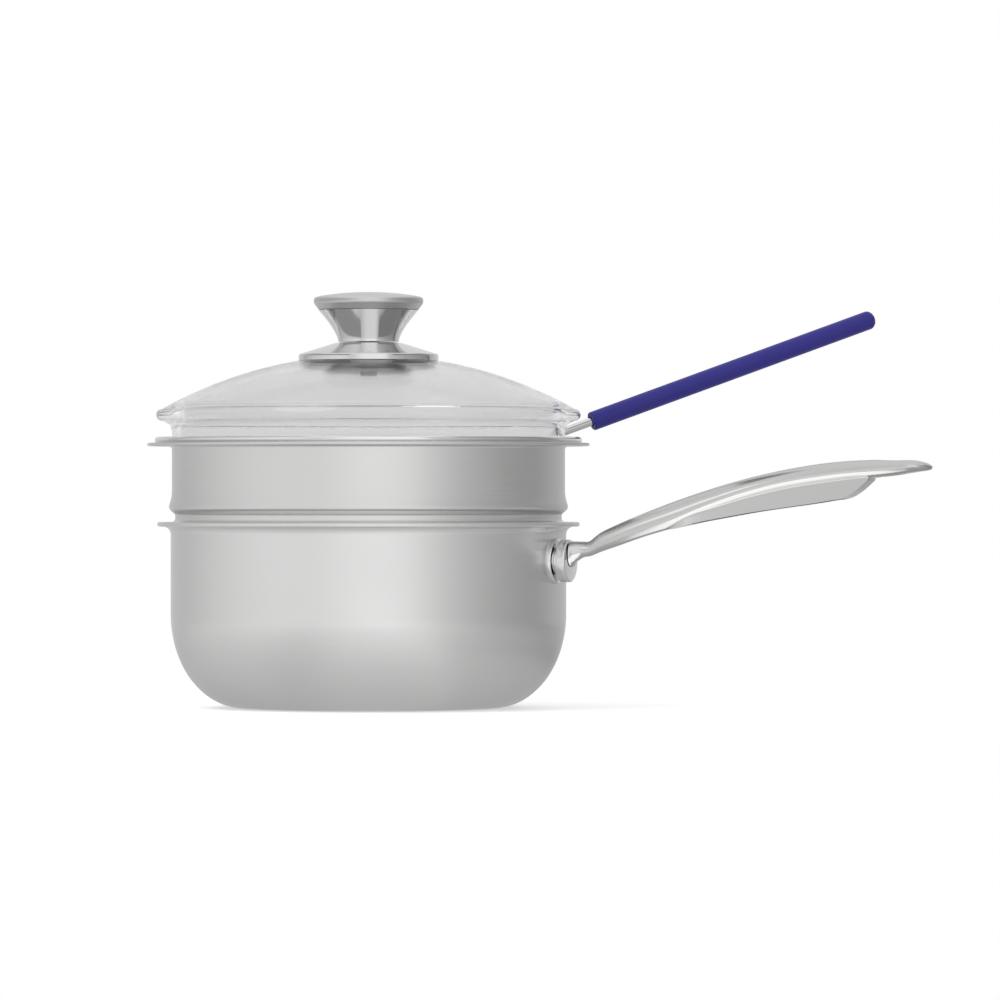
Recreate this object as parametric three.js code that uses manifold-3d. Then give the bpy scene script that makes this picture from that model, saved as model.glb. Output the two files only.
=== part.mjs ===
// Saucepan with a steamer insert, a frying basket and a domed glass lid, stacked as in use.
// Millimetres, +Z up. The origin is the centre of the pan's flat base and +X runs along the pan handle.

import * as THREE from 'three';
import { mergeVertices } from 'three/addons/utils/BufferGeometryUtils.js';
import Module from 'manifold-3d';

const wasm = await Module();
wasm.setup();

// Facets round the large turned pieces and round the small ones
const LARGE_FACETS = 40;
const SMALL_FACETS = 24;
const FILLET_STEPS = 3;
const CURVE_SEGMENTS = 6;

// Clearance kept between pieces that seat on each other
const SEAT_GAP = 0.3;

// Pan body, a nominal 20 cm saucepan
const PAN_INNER_RADIUS = 100;
const PAN_WALL = 1.2;
const PAN_FLOOR = 2.4;
const PAN_HEIGHT = 95;
const PAN_CORNER_RUN = 36;
const PAN_CORNER_RISE = 48;
const FLARE_RADIUS = 5.7;
const LIP_THICKNESS = 2.4;
const LIP_ROUND = 4;
const CORNER_STEPS = 6;
const FLARE_STEPS = 4;

// Pan handle: saddle pad, round boss, then a cast grip with an open keel below it
const BOSS_HEIGHT = 75.3;
const BOSS_RADIUS = 10.8;
const BOSS_THICKNESS = 6.2;
const BOSS_EDGE = 0.6;
const BOSS_CROWN = 0.6;
const BOSS_GROOVE_WIDTH = 1.2;
const BOSS_GROOVE_DEPTH = 1.4;
const PAD_RADIUS = 11.5;
const PAD_THICKNESS = 1.6;
const NECK_HEIGHT = 5.4;
const TENON_RADIUS = 3.2;
const TENON_LENGTH = 3.6;
const HANDLE_LENGTH = 189;
const HANDLE_RISE = 42.2;
const GRIP_THICKNESS = 12.9;
const GRIP_HALF_WIDTH = 11.6;
const HANDLE_RING_SIDES = 16;
const HANDLE_STATIONS = 17;
const STATION_EASE = 1.3;
const ROOT_LENGTH = 9;
const ROOT_STATIONS = 5;
const HANDLE_SQUARENESS = 2.5;
const KEEL_DEPTH = 14;
const KEEL_HALF_WIDTH = 7;
const KEEL_WALL = 1.8;
const KEEL_BOW_LENGTH = 22;
const CROWN_THICKNESS = 3.4;
const HANG_SLOT_LENGTH = 16;
const HANG_SLOT_WIDTH = 8;
const HANG_SLOT_TO_TIP = 13;

// Steamer insert, drawn from one sheet
const STEAMER_SHEET = 0.8;
const STEAMER_INSET = 0.6;
const STEAMER_RISE = 41;
const STEAMER_DROP = 18;
const STEAMER_FLANGE_WIDTH = 12.6;
const STEAMER_FLANGE_RISE = 1.2;
const STEAMER_FLANGE_FILLET = 1.6;
const STEAMER_HEM_WIDTH = 2.4;
const STEAMER_HEM_DROP = 0.8;
const STEAMER_FLOOR_FILLET = 6;
const STEAMER_NECK_PLAY = 1.1;
const STEAMER_SKIRT_PLAY = 1.6;
const STEAMER_BEAD = 1.6;
const BEAD_CREST_RISE = 9.2;
const BEAD_TOP_RISE = 14.4;
const NECK_TOP_RISE = 5.6;
const NECK_FOOT_RISE = 2.8;
const SEAT_LAND = 0.7;
const SKIRT_TOP_DROP = 2.8;
const STEAM_HOLE_RADIUS = 3.5;
const STEAM_HOLE_PITCH = 24;
const STEAM_HOLE_RINGS = 3;
const STEAM_HOLE_SIDES = 8;

// Frying basket: pressed rim, mesh wall, base hoop, mesh floor, rod and sleeve
const BASKET_SHEET = 0.8;
const BASKET_PLAY = 2.4;
const BASKET_BEAD_RADIUS = 1.5;
const BASKET_BEAD_LIFT = 0.55;
const BASKET_RIM_INSET = 5.3;
const BRIM_RISE = 2.6;
const BASKET_STEP_PLAY = 0.9;
const BASKET_SKIRT_DEPTH = 9;
const BASKET_DEPTH = 38;
const BASKET_TAPER = 4;
const MESH_THICKNESS = 1;
const WALL_STRAND = 1.6;
const WALL_GAPS_AROUND = 30;
const WALL_GAPS_HIGH = 3;
const MESH_LAP = 5;
const HOOP_WIRE_RADIUS = 1.5;
const HOOP_SIDES = 6;
const FLOOR_PITCH = 15;
const FLOOR_STRAND = 1.8;
const FLOOR_EDGE = 4;
const ROD_AZIMUTH = 39.5;
const ROD_RADIUS = 2.25;
const ROD_BEND_RADIUS = 3.4;
const ROD_SLOPE = 19.1;
const ROD_LENGTH = 170;
const ROD_SIDES = 10;
const ROD_BEND_STEPS = 5;
const SLEEVE_RADIUS = 4.9;
const SLEEVE_LENGTH = 168;
const SLEEVE_START = 16.5;
const SLEEVE_EDGE = 0.8;
const SLEEVE_TIP_STEPS = 4;

// Glass lid, pressed in one piece with a collar that stands in the basket's rim
const GLASS = 4.5;
const COLLAR_WALL = 4;
const COLLAR_DRAFT = 1.1;
const COLLAR_HEIGHT = 9.6;
const COLLAR_ROOT = 1.1;
const LID_PLAY = 1.5;
const LID_OVERHANG = 8.6;
const LID_EDGE_RADIUS = 3.1;
const LID_EDGE_TOP = 17.24;
const DOME_RADIUS = 215;
const DOME_STEPS = 7;
const SCREW_HOLE_RADIUS = 3.2;

// Lid knob and its fixings
const KNOB_BASE_RADIUS = 35.8;
const KNOB_BASE_EDGE = 3.2;
const KNOB_BASE_RISE = 6.6;
const KNOB_BASE_LIP = 2.6;
const KNOB_NECK_RADIUS = 15.6;
const KNOB_NECK_FLARE = 1.5;
const KNOB_HEIGHT = 16;
const KNOB_MOUTH_RADIUS = 25.6;
const KNOB_WALL = 1.4;
const KNOB_WEB = 2.2;
const KNOB_CURVE_STEPS = 5;
const KNOB_CAP_RADIUS = 28.2;
const KNOB_CAP_HEIGHT = 9;
const KNOB_CAP_EDGE_RISE = 3.9;
const KNOB_SPIGOT = 1.6;
const SEAL_THICKNESS = 1.2;
const INNER_SEAL_RADIUS = 19;
const WASHER_RADIUS = 22;
const WASHER_THICKNESS = 1.2;
const SCREW_RADIUS = 2.5;
const SCREW_HEAD_RADIUS = 5;
const SCREW_HEAD_HEIGHT = 2.8;
const SCREW_HEAD_CHAMFER = 1.2;
const INSERT_RADIUS = 6;
const INSERT_HEIGHT = 10;
const INSERT_ENGAGEMENT = 8;

// Finishes
const finish = (color, roughness, metalness) => new THREE.MeshStandardMaterial({ color, roughness, metalness });
const satinSteel = () => finish(0xc9c9c8, 0.38, 1);
const polishedSteel = () => finish(0xd6d6d6, 0.12, 1);
const castSteel = () => finish(0xc2c2c2, 0.3, 1);
const meshSteel = () => finish(0xb8b8b8, 0.35, 1);
const clearGlass = () => finish(0xd4dad8, 0.05, 0);
const blueSilicone = () => finish(0x2d2b86, 0.5, 0);
const greySilicone = () => finish(0x8d9092, 0.6, 0);

const point = (r, z) => new THREE.Vector2(r, z);

// Points on an arc of an ellipse, both ends included
function arcPoints(centreR, centreZ, radiusR, radiusZ, fromDegrees, toDegrees, steps) {
  return Array.from({ length: steps + 1 }, (_, i) => {
    const angle = THREE.MathUtils.degToRad(THREE.MathUtils.lerp(fromDegrees, toDegrees, i / steps));
    return point(centreR + radiusR * Math.cos(angle), centreZ + radiusZ * Math.sin(angle));
  });
}

// Replaces one corner of a path by a round of the given radius
function fillet(before, corner, after, radius) {
  const back = before.clone().sub(corner);
  const ahead = after.clone().sub(corner);
  const half = Math.abs(back.angleTo(ahead)) / 2;
  const setback = Math.min(radius / Math.tan(half), back.length() / 2, ahead.length() / 2);
  const start = corner.clone().add(back.setLength(setback));
  const end = corner.clone().add(ahead.setLength(setback));
  return new THREE.QuadraticBezierCurve(start, corner, end).getPoints(FILLET_STEPS);
}

// A path moved sideways by the sheet's thickness, to its right as it runs, with mitred corners
function offsetPath(path, distance) {
  const normals = path.slice(1).map((end, i) => {
    const run = end.clone().sub(path[i]).normalize();
    return point(run.y, -run.x);
  });
  return path.map((corner, i) => {
    const before = normals[Math.max(i - 1, 0)];
    const after = normals[Math.min(i, normals.length - 1)];
    const mitre = before.clone().add(after).multiplyScalar(distance / (1 + before.dot(after)));
    return corner.clone().add(mitre);
  });
}

// The closed outline of a sheet whose outer face follows the path
function sheetOutline(path, thickness) {
  return [...path, ...offsetPath(path, thickness).reverse()];
}

// Turns an outline of (radius, height) points about the Z axis
function revolve(outline, facets = LARGE_FACETS) {
  const closed = [...outline];
  const onAxis = outline[0].x === 0 && outline.at(-1).x === 0;
  if (!onAxis) closed.push(outline[0].clone());
  if (THREE.ShapeUtils.area(outline) < 0) closed.reverse();
  return new THREE.LatheGeometry(closed, facets).rotateX(Math.PI / 2);
}

// Joins rings of points into one closed skin; each ring turns right-handed about the direction of travel
function loft(rings) {
  const sides = rings[0].length;
  const positions = rings.flat().flatMap((p) => [p.x, p.y, p.z]);
  const faces = [];
  for (let i = 0; i < rings.length - 1; i += 1) {
    for (let j = 0; j < sides; j += 1) {
      const a = i * sides + j;
      const b = i * sides + ((j + 1) % sides);
      faces.push(a, b, b + sides, a, b + sides, a + sides);
    }
  }
  const last = (rings.length - 1) * sides;
  for (let j = 1; j < sides - 1; j += 1) {
    faces.push(0, j + 1, j, last, last + j, last + j + 1);
  }
  const geometry = new THREE.BufferGeometry();
  geometry.setAttribute('position', new THREE.Float32BufferAttribute(positions, 3));
  geometry.setIndex(faces);
  return geometry;
}

// Solids for joining and cutting
function toSolid(geometry) {
  const bare = geometry.clone();
  bare.deleteAttribute('normal');
  bare.deleteAttribute('uv');
  const merged = mergeVertices(bare, 1e-4);
  const vertProperties = new Float32Array(merged.attributes.position.array);
  const triVerts = new Uint32Array(merged.index.array);
  return new wasm.Manifold(new wasm.Mesh({ numProp: 3, vertProperties, triVerts }));
}

function toGeometry(solid) {
  const mesh = solid.getMesh();
  const geometry = new THREE.BufferGeometry();
  geometry.setAttribute('position', new THREE.BufferAttribute(new Float32Array(mesh.vertProperties), 3));
  geometry.setIndex(new THREE.BufferAttribute(new Uint32Array(mesh.triVerts), 1));
  return geometry;
}

const cut = (body, ...tools) => toGeometry(
  tools.reduce((left, tool) => left.subtract(toSolid(tool)), toSolid(body)));
const common = (body, tool) => toGeometry(toSolid(body).intersect(toSolid(tool)));
const join = (body, tool) => toGeometry(toSolid(body).add(toSolid(tool)));

function part(name, geometry, material) {
  geometry.computeVertexNormals();
  const mesh = new THREE.Mesh(geometry, material);
  mesh.name = name;
  return mesh;
}

// A round bar along X, for holes and pads that face the handle
function barAlongX(radius, fromX, toX, z, facets = SMALL_FACETS) {
  const bar = new THREE.CylinderGeometry(radius, radius, toX - fromX, facets);
  return bar.rotateZ(-Math.PI / 2).translate((fromX + toX) / 2, 0, z);
}

function extrude(shape, depth) {
  return new THREE.ExtrudeGeometry(shape, { depth, bevelEnabled: false, curveSegments: CURVE_SEGMENTS });
}

// An outline drawn in the XZ plane, given thickness evenly to both sides of it
function plateAlongX(outline, halfWidth) {
  return extrude(new THREE.Shape(outline), 2 * halfWidth).translate(0, 0, -halfWidth).rotateX(Math.PI / 2);
}

// Pan body
const panOuterRadius = PAN_INNER_RADIUS + PAN_WALL;
const baseRadius = panOuterRadius - PAN_CORNER_RUN;
const flareCentre = point(panOuterRadius + FLARE_RADIUS, PAN_HEIGHT - PAN_WALL - FLARE_RADIUS);
const flareInnerRadius = FLARE_RADIUS + PAN_WALL;
const lipCentre = point(flareCentre.x, PAN_HEIGHT - LIP_THICKNESS / 2);

function panBody() {
  const outerCorner = arcPoints(
    baseRadius, PAN_CORNER_RISE, PAN_CORNER_RUN, PAN_CORNER_RISE, -90, 0, CORNER_STEPS);
  const innerCorner = arcPoints(
    baseRadius, PAN_CORNER_RISE, PAN_CORNER_RUN - PAN_WALL, PAN_CORNER_RISE - PAN_FLOOR, 0, -90, CORNER_STEPS);
  const underLip = arcPoints(
    panOuterRadius + LIP_ROUND, PAN_HEIGHT - LIP_THICKNESS - LIP_ROUND, LIP_ROUND, LIP_ROUND,
    180, 90, FLARE_STEPS);
  const innerFlare = arcPoints(
    flareCentre.x, flareCentre.y, flareInnerRadius, flareInnerRadius, 90, 180, FLARE_STEPS);
  const lip = arcPoints(lipCentre.x, lipCentre.y, LIP_THICKNESS / 2, LIP_THICKNESS / 2, -60, 60, 2);
  return revolve([
    point(0, 0), ...outerCorner, ...underLip, ...lip, ...innerFlare, ...innerCorner, point(0, PAN_FLOOR)]);
}

// Handle pad and boss, both hollowed to lie along the pan's wall
const padInnerRadius = panOuterRadius + SEAT_GAP;
const padOuterRadius = padInnerRadius + PAD_THICKNESS;
const bossBackRadius = padOuterRadius + SEAT_GAP;
const bossFaceX = bossBackRadius + BOSS_THICKNESS;

// A straight tube about the pan's axis, tall enough for the pad
function wallTube(innerRadius, outerRadius) {
  const low = BOSS_HEIGHT - 2 * PAD_RADIUS;
  const high = BOSS_HEIGHT + 2 * PAD_RADIUS;
  return revolve([
    point(innerRadius, low), point(outerRadius, low), point(outerRadius, high), point(innerRadius, high)]);
}

function handlePad() {
  const disc = barAlongX(PAD_RADIUS, PAN_INNER_RADIUS / 2, 2 * padOuterRadius, BOSS_HEIGHT);
  return common(wallTube(padInnerRadius, padOuterRadius), disc);
}

function handleBoss() {
  const face = bossFaceX;
  const grooveRadius = BOSS_RADIUS - BOSS_GROOVE_DEPTH;
  const grooveEnd = bossBackRadius + BOSS_GROOVE_WIDTH;
  const outline = [
    point(0, PAN_INNER_RADIUS / 2),
    point(grooveRadius, PAN_INNER_RADIUS / 2),
    point(grooveRadius, grooveEnd),
    point(BOSS_RADIUS, grooveEnd),
    point(BOSS_RADIUS, face - BOSS_EDGE),
    point(BOSS_RADIUS - BOSS_EDGE / 3, face - BOSS_EDGE / 3),
    point(BOSS_RADIUS - BOSS_EDGE, face),
    point(0, face + BOSS_CROWN)];
  const disc = new THREE.LatheGeometry(outline, SMALL_FACETS);
  disc.rotateZ(-Math.PI / 2).translate(0, 0, BOSS_HEIGHT);
  const socket = barAlongX(
    TENON_RADIUS + SEAT_GAP, face - TENON_LENGTH - SEAT_GAP, 2 * face, BOSS_HEIGHT + NECK_HEIGHT);
  return cut(disc, wallTube(PAN_INNER_RADIUS / 4, bossBackRadius), socket);
}

// Grip. Each curve runs over the handle's length, from the boss to the tip, as shares of that length and of
// the size it belongs to: the rise of the middle line, the thickness, the half width and the keel's depth.
const handleStartX = bossFaceX + BOSS_CROWN + SEAT_GAP;
const alongHandle = (pairs, size) => pairs.map(([along, up]) => point(along * HANDLE_LENGTH, up * size));
const middleLine = new THREE.SplineCurve(alongHandle([
  [0, -0.049], [0.008, -0.021], [0.017, -0.006], [0.03, 0.01], [0.048, 0.019], [0.076, 0.088], [0.124, 0.176],
  [0.2, 0.302], [0.28, 0.421], [0.38, 0.58], [0.56, 0.806], [0.76, 0.946], [0.9, 0.986], [0.97, 1],
  [1, 0.988]], HANDLE_RISE));
const gripThickness = new THREE.SplineCurve(alongHandle([
  [0, 1.01], [0.008, 0.84], [0.017, 0.735], [0.03, 0.63], [0.048, 0.595], [0.076, 0.735], [0.124, 0.84],
  [0.2, 0.911], [0.28, 1], [0.38, 0.923], [0.56, 0.816], [0.76, 0.769], [0.9, 0.601], [0.97, 0.39],
  [0.99, 0.25], [1, 0.11]], GRIP_THICKNESS));
const gripHalfWidth = new THREE.SplineCurve(alongHandle([
  [0, 0.6], [0.008, 0.51], [0.017, 0.44], [0.03, 0.38], [0.048, 0.36], [0.076, 0.4], [0.124, 0.46],
  [0.2, 0.535], [0.32, 0.66], [0.48, 0.9], [0.63, 1], [0.82, 1], [0.93, 0.86], [0.98, 0.55],
  [1, 0.2]], GRIP_HALF_WIDTH));
const keelHang = alongHandle([
  [0.265, 0.456], [0.328, 0.574], [0.466, 0.828], [0.73, 1], [0.772, 0.956], [0.8, 0.76], [0.836, 0.377]],
KEEL_DEPTH);

// The height of a spline at a distance along the handle
function heightAt(spline, x) {
  let low = 0;
  let high = 1;
  for (let i = 0; i < 40; i += 1) {
    const middle = (low + high) / 2;
    if (spline.getPoint(middle).x < x) low = middle;
    else high = middle;
  }
  return spline.getPoint(low).y;
}

const middleAt = (x) => NECK_HEIGHT + heightAt(middleLine, x);
const crownUnderAt = (x) => middleAt(x) + heightAt(gripThickness, x) / 2 - CROWN_THICKNESS;

function gripRing(x) {
  const halfHeight = heightAt(gripThickness, x) / 2;
  const halfWidth = heightAt(gripHalfWidth, x);
  const rounded = (value) => Math.sign(value) * Math.abs(value) ** (2 / HANDLE_SQUARENESS);
  return Array.from({ length: HANDLE_RING_SIDES }, (_, i) => {
    const angle = (2 * Math.PI * i) / HANDLE_RING_SIDES;
    const y = halfWidth * rounded(Math.cos(angle));
    return new THREE.Vector3(x, y, middleAt(x) + halfHeight * rounded(Math.sin(angle)));
  });
}

// Close rings at the flared root, then wider apart, and close again at the tip
function gripStations() {
  const easeToTip = (t) => THREE.MathUtils.lerp(ROOT_LENGTH, HANDLE_LENGTH, 1 - (1 - t) ** STATION_EASE);
  const root = Array.from({ length: ROOT_STATIONS }, (_, i) => ROOT_LENGTH * (i / ROOT_STATIONS) ** 2);
  return [...root, ...Array.from({ length: HANDLE_STATIONS + 1 }, (_, i) => easeToTip(i / HANDLE_STATIONS))];
}

function handle() {
  const grip = loft(gripStations().map(gripRing));

  const keelBottom = keelHang.map((p) => point(p.x, middleAt(p.x) - p.y));
  const spineLine = [...keelBottom].reverse().map((p) => point(p.x, crownUnderAt(p.x)));
  const plate = plateAlongX([...keelBottom, ...spineLine], KEEL_HALF_WIDTH);
  const bowX = keelBottom[0].x;
  const bowPlan = new THREE.Shape()
    .moveTo(bowX, 0)
    .quadraticCurveTo(bowX, -KEEL_HALF_WIDTH, bowX + KEEL_BOW_LENGTH, -KEEL_HALF_WIDTH)
    .lineTo(HANDLE_LENGTH, -KEEL_HALF_WIDTH)
    .lineTo(HANDLE_LENGTH, KEEL_HALF_WIDTH)
    .lineTo(bowX + KEEL_BOW_LENGTH, KEEL_HALF_WIDTH)
    .quadraticCurveTo(bowX, KEEL_HALF_WIDTH, bowX, 0);
  const keel = common(plate, extrude(bowPlan, HANDLE_LENGTH));

  const hollowStart = keelBottom[1].x;
  const hollowEnd = keelBottom.at(-3).x - KEEL_WALL;
  const hollowTop = [hollowEnd, 0.5 * (hollowStart + hollowEnd), hollowStart].map(
    (x) => point(x, crownUnderAt(x) - KEEL_WALL));
  const hollow = plateAlongX([point(hollowStart, 0), point(hollowEnd, 0), ...hollowTop],
    KEEL_HALF_WIDTH - KEEL_WALL);

  const slotRound = HANG_SLOT_WIDTH / 2;
  const slotEnd = HANDLE_LENGTH - HANG_SLOT_TO_TIP;
  const slotOutline = new THREE.Shape()
    .absarc(slotEnd - slotRound, 0, slotRound, -Math.PI / 2, Math.PI / 2)
    .absarc(slotEnd - HANG_SLOT_LENGTH + slotRound, 0, slotRound, Math.PI / 2, 1.5 * Math.PI);
  const slot = extrude(slotOutline, HANDLE_LENGTH);

  const tenon = barAlongX(TENON_RADIUS, -BOSS_CROWN - TENON_LENGTH, CROWN_THICKNESS, NECK_HEIGHT, 16);
  const casting = join(join(grip, keel), tenon);
  return cut(casting, hollow, slot).translate(handleStartX, 0, BOSS_HEIGHT);
}

// Steamer insert. Its height is counted from the line where its lower bead rests in the pan's flared lip.
// The flange's edge is folded back under itself.
const seatDirection = point(-Math.SQRT1_2, Math.SQRT1_2);
const steamerSeat = seatDirection.clone().multiplyScalar(flareInnerRadius + SEAT_GAP).add(flareCentre);
const steamerWallRadius = panOuterRadius - STEAMER_INSET;
const steamerNeckRadius = PAN_INNER_RADIUS - STEAMER_NECK_PLAY;
const steamerSkirtRadius = PAN_INNER_RADIUS - STEAMER_SKIRT_PLAY;
const steamerFlangeRadius = steamerWallRadius + STEAMER_FLANGE_WIDTH;
const steamerFlangeTop = STEAMER_RISE;
const flangeUnder = STEAMER_RISE - STEAMER_SHEET;

function steamerBody() {
  const tip = point(steamerFlangeRadius, flangeUnder + STEAMER_FLANGE_RISE);
  const root = point(steamerWallRadius, flangeUnder);
  const hemRoot = tip.clone().lerp(root, STEAMER_HEM_WIDTH / STEAMER_FLANGE_WIDTH);
  const hemFoot = tip.y - STEAMER_HEM_DROP;
  const hem = [point(tip.x, tip.y + STEAMER_SHEET), point(tip.x, hemFoot), point(hemRoot.x, hemFoot)];
  const beadTop = point(steamerWallRadius, BEAD_TOP_RISE);
  const floorCorner = point(steamerSkirtRadius, -STEAMER_DROP);
  const skirtTop = point(steamerSkirtRadius, -SKIRT_TOP_DROP);
  const centre = point(0, -STEAMER_DROP);
  const path = [
    hemRoot,
    ...fillet(hemRoot, root, beadTop, STEAMER_FLANGE_FILLET),
    beadTop,
    point(steamerWallRadius + STEAMER_BEAD, BEAD_CREST_RISE),
    point(steamerNeckRadius, NECK_TOP_RISE),
    point(steamerNeckRadius, NECK_FOOT_RISE),
    point(steamerSeat.x, SEAT_LAND),
    point(steamerSeat.x, 0),
    skirtTop,
    ...fillet(skirtTop, floorCorner, centre, STEAMER_FLOOR_FILLET),
    centre];
  return cut(revolve([...sheetOutline(path, STEAMER_SHEET), ...hem]), ...steamHoles());
}

// Rings of holes through the floor, six more in each ring
function steamHoles() {
  const holes = [];
  for (let ring = 0; ring <= STEAM_HOLE_RINGS; ring += 1) {
    const count = Math.max(1, 6 * ring);
    for (let i = 0; i < count; i += 1) {
      const angle = (2 * Math.PI * i) / count;
      const reach = ring * STEAM_HOLE_PITCH;
      const hole = new THREE.CylinderGeometry(
        STEAM_HOLE_RADIUS, STEAM_HOLE_RADIUS, 4 * STEAMER_SHEET, STEAM_HOLE_SIDES).rotateX(Math.PI / 2);
      holes.push(hole.translate(reach * Math.cos(angle), reach * Math.sin(angle), -STEAMER_DROP));
    }
  }
  return holes;
}

// Frying basket. Its height is counted from the underside of the ledge that lies on the steamer's flange.
const basketSkirtRadius = steamerWallRadius - STEAMER_SHEET - BASKET_PLAY;
const basketStepRadius = steamerWallRadius + BASKET_STEP_PLAY;
const flangeTopAt = (r) => (STEAMER_FLANGE_RISE * (r - steamerWallRadius)) / STEAMER_FLANGE_WIDTH - SEAT_GAP;
const basketRimRadius = steamerFlangeRadius - BASKET_RIM_INSET;
const basketBeadCentre = point(
  basketRimRadius, flangeTopAt(basketRimRadius) + BASKET_BEAD_LIFT + BASKET_BEAD_RADIUS);
const brimTop = BRIM_RISE + BASKET_SHEET;
const ledgeTop = BASKET_SHEET;

function basketRim() {
  const bead = arcPoints(
    basketBeadCentre.x, basketBeadCentre.y, BASKET_BEAD_RADIUS, BASKET_BEAD_RADIUS, -170, 150, 6);
  const under = [
    point(basketStepRadius + BASKET_SHEET, BRIM_RISE),
    point(basketStepRadius, 0),
    point(basketSkirtRadius, 0),
    point(basketSkirtRadius, -BASKET_SKIRT_DEPTH)];
  const over = offsetPath(under, BASKET_SHEET).reverse();
  const inner = over.slice(0, -1);
  const brimInner = point(basketStepRadius, brimTop);
  return revolve([...under, ...inner, brimInner, ...bead.reverse()]);
}

// A band of net on a cone: square gaps between strands, open right through
function netBand(topRadius, topZ, bottomRadius, bottomZ) {
  const positions = [];
  const faces = [];
  const slant = Math.hypot(topRadius - bottomRadius, topZ - bottomZ);
  const marginUp = WALL_STRAND / 2 / (slant / WALL_GAPS_HIGH);
  const marginAround = WALL_STRAND / 2 / ((2 * Math.PI * topRadius) / WALL_GAPS_AROUND);
  const vertex = (around, up, side) => {
    const angle = (2 * Math.PI * around) / WALL_GAPS_AROUND;
    const share = up / WALL_GAPS_HIGH;
    const radius = THREE.MathUtils.lerp(topRadius, bottomRadius, share) + (side * MESH_THICKNESS) / 2;
    const z = THREE.MathUtils.lerp(topZ, bottomZ, share);
    positions.push(radius * Math.cos(angle), radius * Math.sin(angle), z);
    return positions.length / 3 - 1;
  };
  const quad = (a, b, c, d) => faces.push(a, b, c, a, c, d);
  const corners = (around, up, inset, side) => [
    vertex(around + inset * marginAround, up + inset * marginUp, side),
    vertex(around + 1 - inset * marginAround, up + inset * marginUp, side),
    vertex(around + 1 - inset * marginAround, up + 1 - inset * marginUp, side),
    vertex(around + inset * marginAround, up + 1 - inset * marginUp, side)];
  for (let around = 0; around < WALL_GAPS_AROUND; around += 1) {
    for (let up = 0; up < WALL_GAPS_HIGH; up += 1) {
      const [frameOut, gapOut] = [corners(around, up, 0, 1), corners(around, up, 1, 1)];
      const [frameIn, gapIn] = [corners(around, up, 0, -1), corners(around, up, 1, -1)];
      for (let i = 0; i < 4; i += 1) {
        const j = (i + 1) % 4;
        quad(frameOut[j], frameOut[i], gapOut[i], gapOut[j]);
        quad(frameIn[i], frameIn[j], gapIn[j], gapIn[i]);
        quad(gapOut[j], gapOut[i], gapIn[i], gapIn[j]);
      }
      if (up === 0) quad(frameOut[0], frameOut[1], frameIn[1], frameIn[0]);
      if (up === WALL_GAPS_HIGH - 1) quad(frameOut[2], frameOut[3], frameIn[3], frameIn[2]);
    }
  }
  const geometry = new THREE.BufferGeometry();
  geometry.setAttribute('position', new THREE.Float32BufferAttribute(positions, 3));
  geometry.setIndex(faces);
  return mergeVertices(geometry, 1e-4);
}

const wallTopRadius = basketSkirtRadius - BASKET_SHEET - SEAT_GAP - MESH_THICKNESS / 2;
const hoopRadius = wallTopRadius - BASKET_TAPER;
const hoopZ = -BASKET_DEPTH + HOOP_WIRE_RADIUS;

function basketWall() {
  const topZ = -BASKET_SKIRT_DEPTH + MESH_LAP;
  return netBand(wallTopRadius, topZ, hoopRadius, hoopZ + HOOP_WIRE_RADIUS + SEAT_GAP);
}

function basketHoop() {
  const step = 360 / HOOP_SIDES;
  const wire = arcPoints(hoopRadius, hoopZ, HOOP_WIRE_RADIUS, HOOP_WIRE_RADIUS, 90, 450 - step, HOOP_SIDES - 1);
  return revolve(wire);
}

// A flat round net with square gaps and a plain edge
function basketFloor() {
  const radius = hoopRadius - HOOP_WIRE_RADIUS - SEAT_GAP;
  const disc = new THREE.CylinderGeometry(radius, radius, MESH_THICKNESS, LARGE_FACETS).rotateX(Math.PI / 2);
  const netRadius = radius - FLOOR_EDGE;
  const bounds = new THREE.CylinderGeometry(netRadius, netRadius, 4 * MESH_THICKNESS, LARGE_FACETS)
    .rotateX(Math.PI / 2);
  const reach = Math.floor(netRadius / FLOOR_PITCH);
  const gapSide = FLOOR_PITCH - FLOOR_STRAND;
  const gaps = [];
  for (let i = -reach; i <= reach; i += 1) {
    for (let j = -reach; j <= reach; j += 1) {
      if (Math.hypot(i, j) * FLOOR_PITCH < netRadius) {
        const gap = new THREE.BoxGeometry(gapSide, gapSide, 2 * MESH_THICKNESS);
        gaps.push(common(gap.translate(i * FLOOR_PITCH, j * FLOOR_PITCH, 0), bounds));
      }
    }
  }
  return cut(disc, ...gaps).translate(0, 0, hoopZ);
}

// The rod rises from the brim, bends outwards and runs straight into the sleeve
const rodFootRadius = (basketStepRadius + BASKET_SHEET + basketBeadCentre.x - BASKET_BEAD_RADIUS) / 2;
const rodSlope = THREE.MathUtils.degToRad(ROD_SLOPE);
const rodDirection = point(Math.cos(rodSlope), Math.sin(rodSlope));
const rodFoot = point(rodFootRadius, brimTop + SEAT_GAP);
const rodBend = arcPoints(rodFoot.x + ROD_BEND_RADIUS, rodFoot.y, ROD_BEND_RADIUS, ROD_BEND_RADIUS,
  180, 90 + ROD_SLOPE, ROD_BEND_STEPS);
const rodStraightStart = rodBend.at(-1);

function basketRod() {
  const path = [...rodBend, rodDirection.clone().multiplyScalar(ROD_LENGTH).add(rodStraightStart)];
  const slopes = rodBend.map((_, i) => THREE.MathUtils.lerp(Math.PI / 2, rodSlope, i / ROD_BEND_STEPS));
  slopes.push(rodSlope);
  return loft(path.map((centre, i) => rodRing(centre, slopes[i])));
}

function rodRing(centre, slope) {
  return Array.from({ length: ROD_SIDES }, (_, i) => {
    const angle = (2 * Math.PI * i) / ROD_SIDES;
    const across = ROD_RADIUS * Math.cos(angle);
    const up = ROD_RADIUS * Math.sin(angle);
    return new THREE.Vector3(centre.x - up * Math.sin(slope), across, centre.y + up * Math.cos(slope));
  });
}

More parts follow.
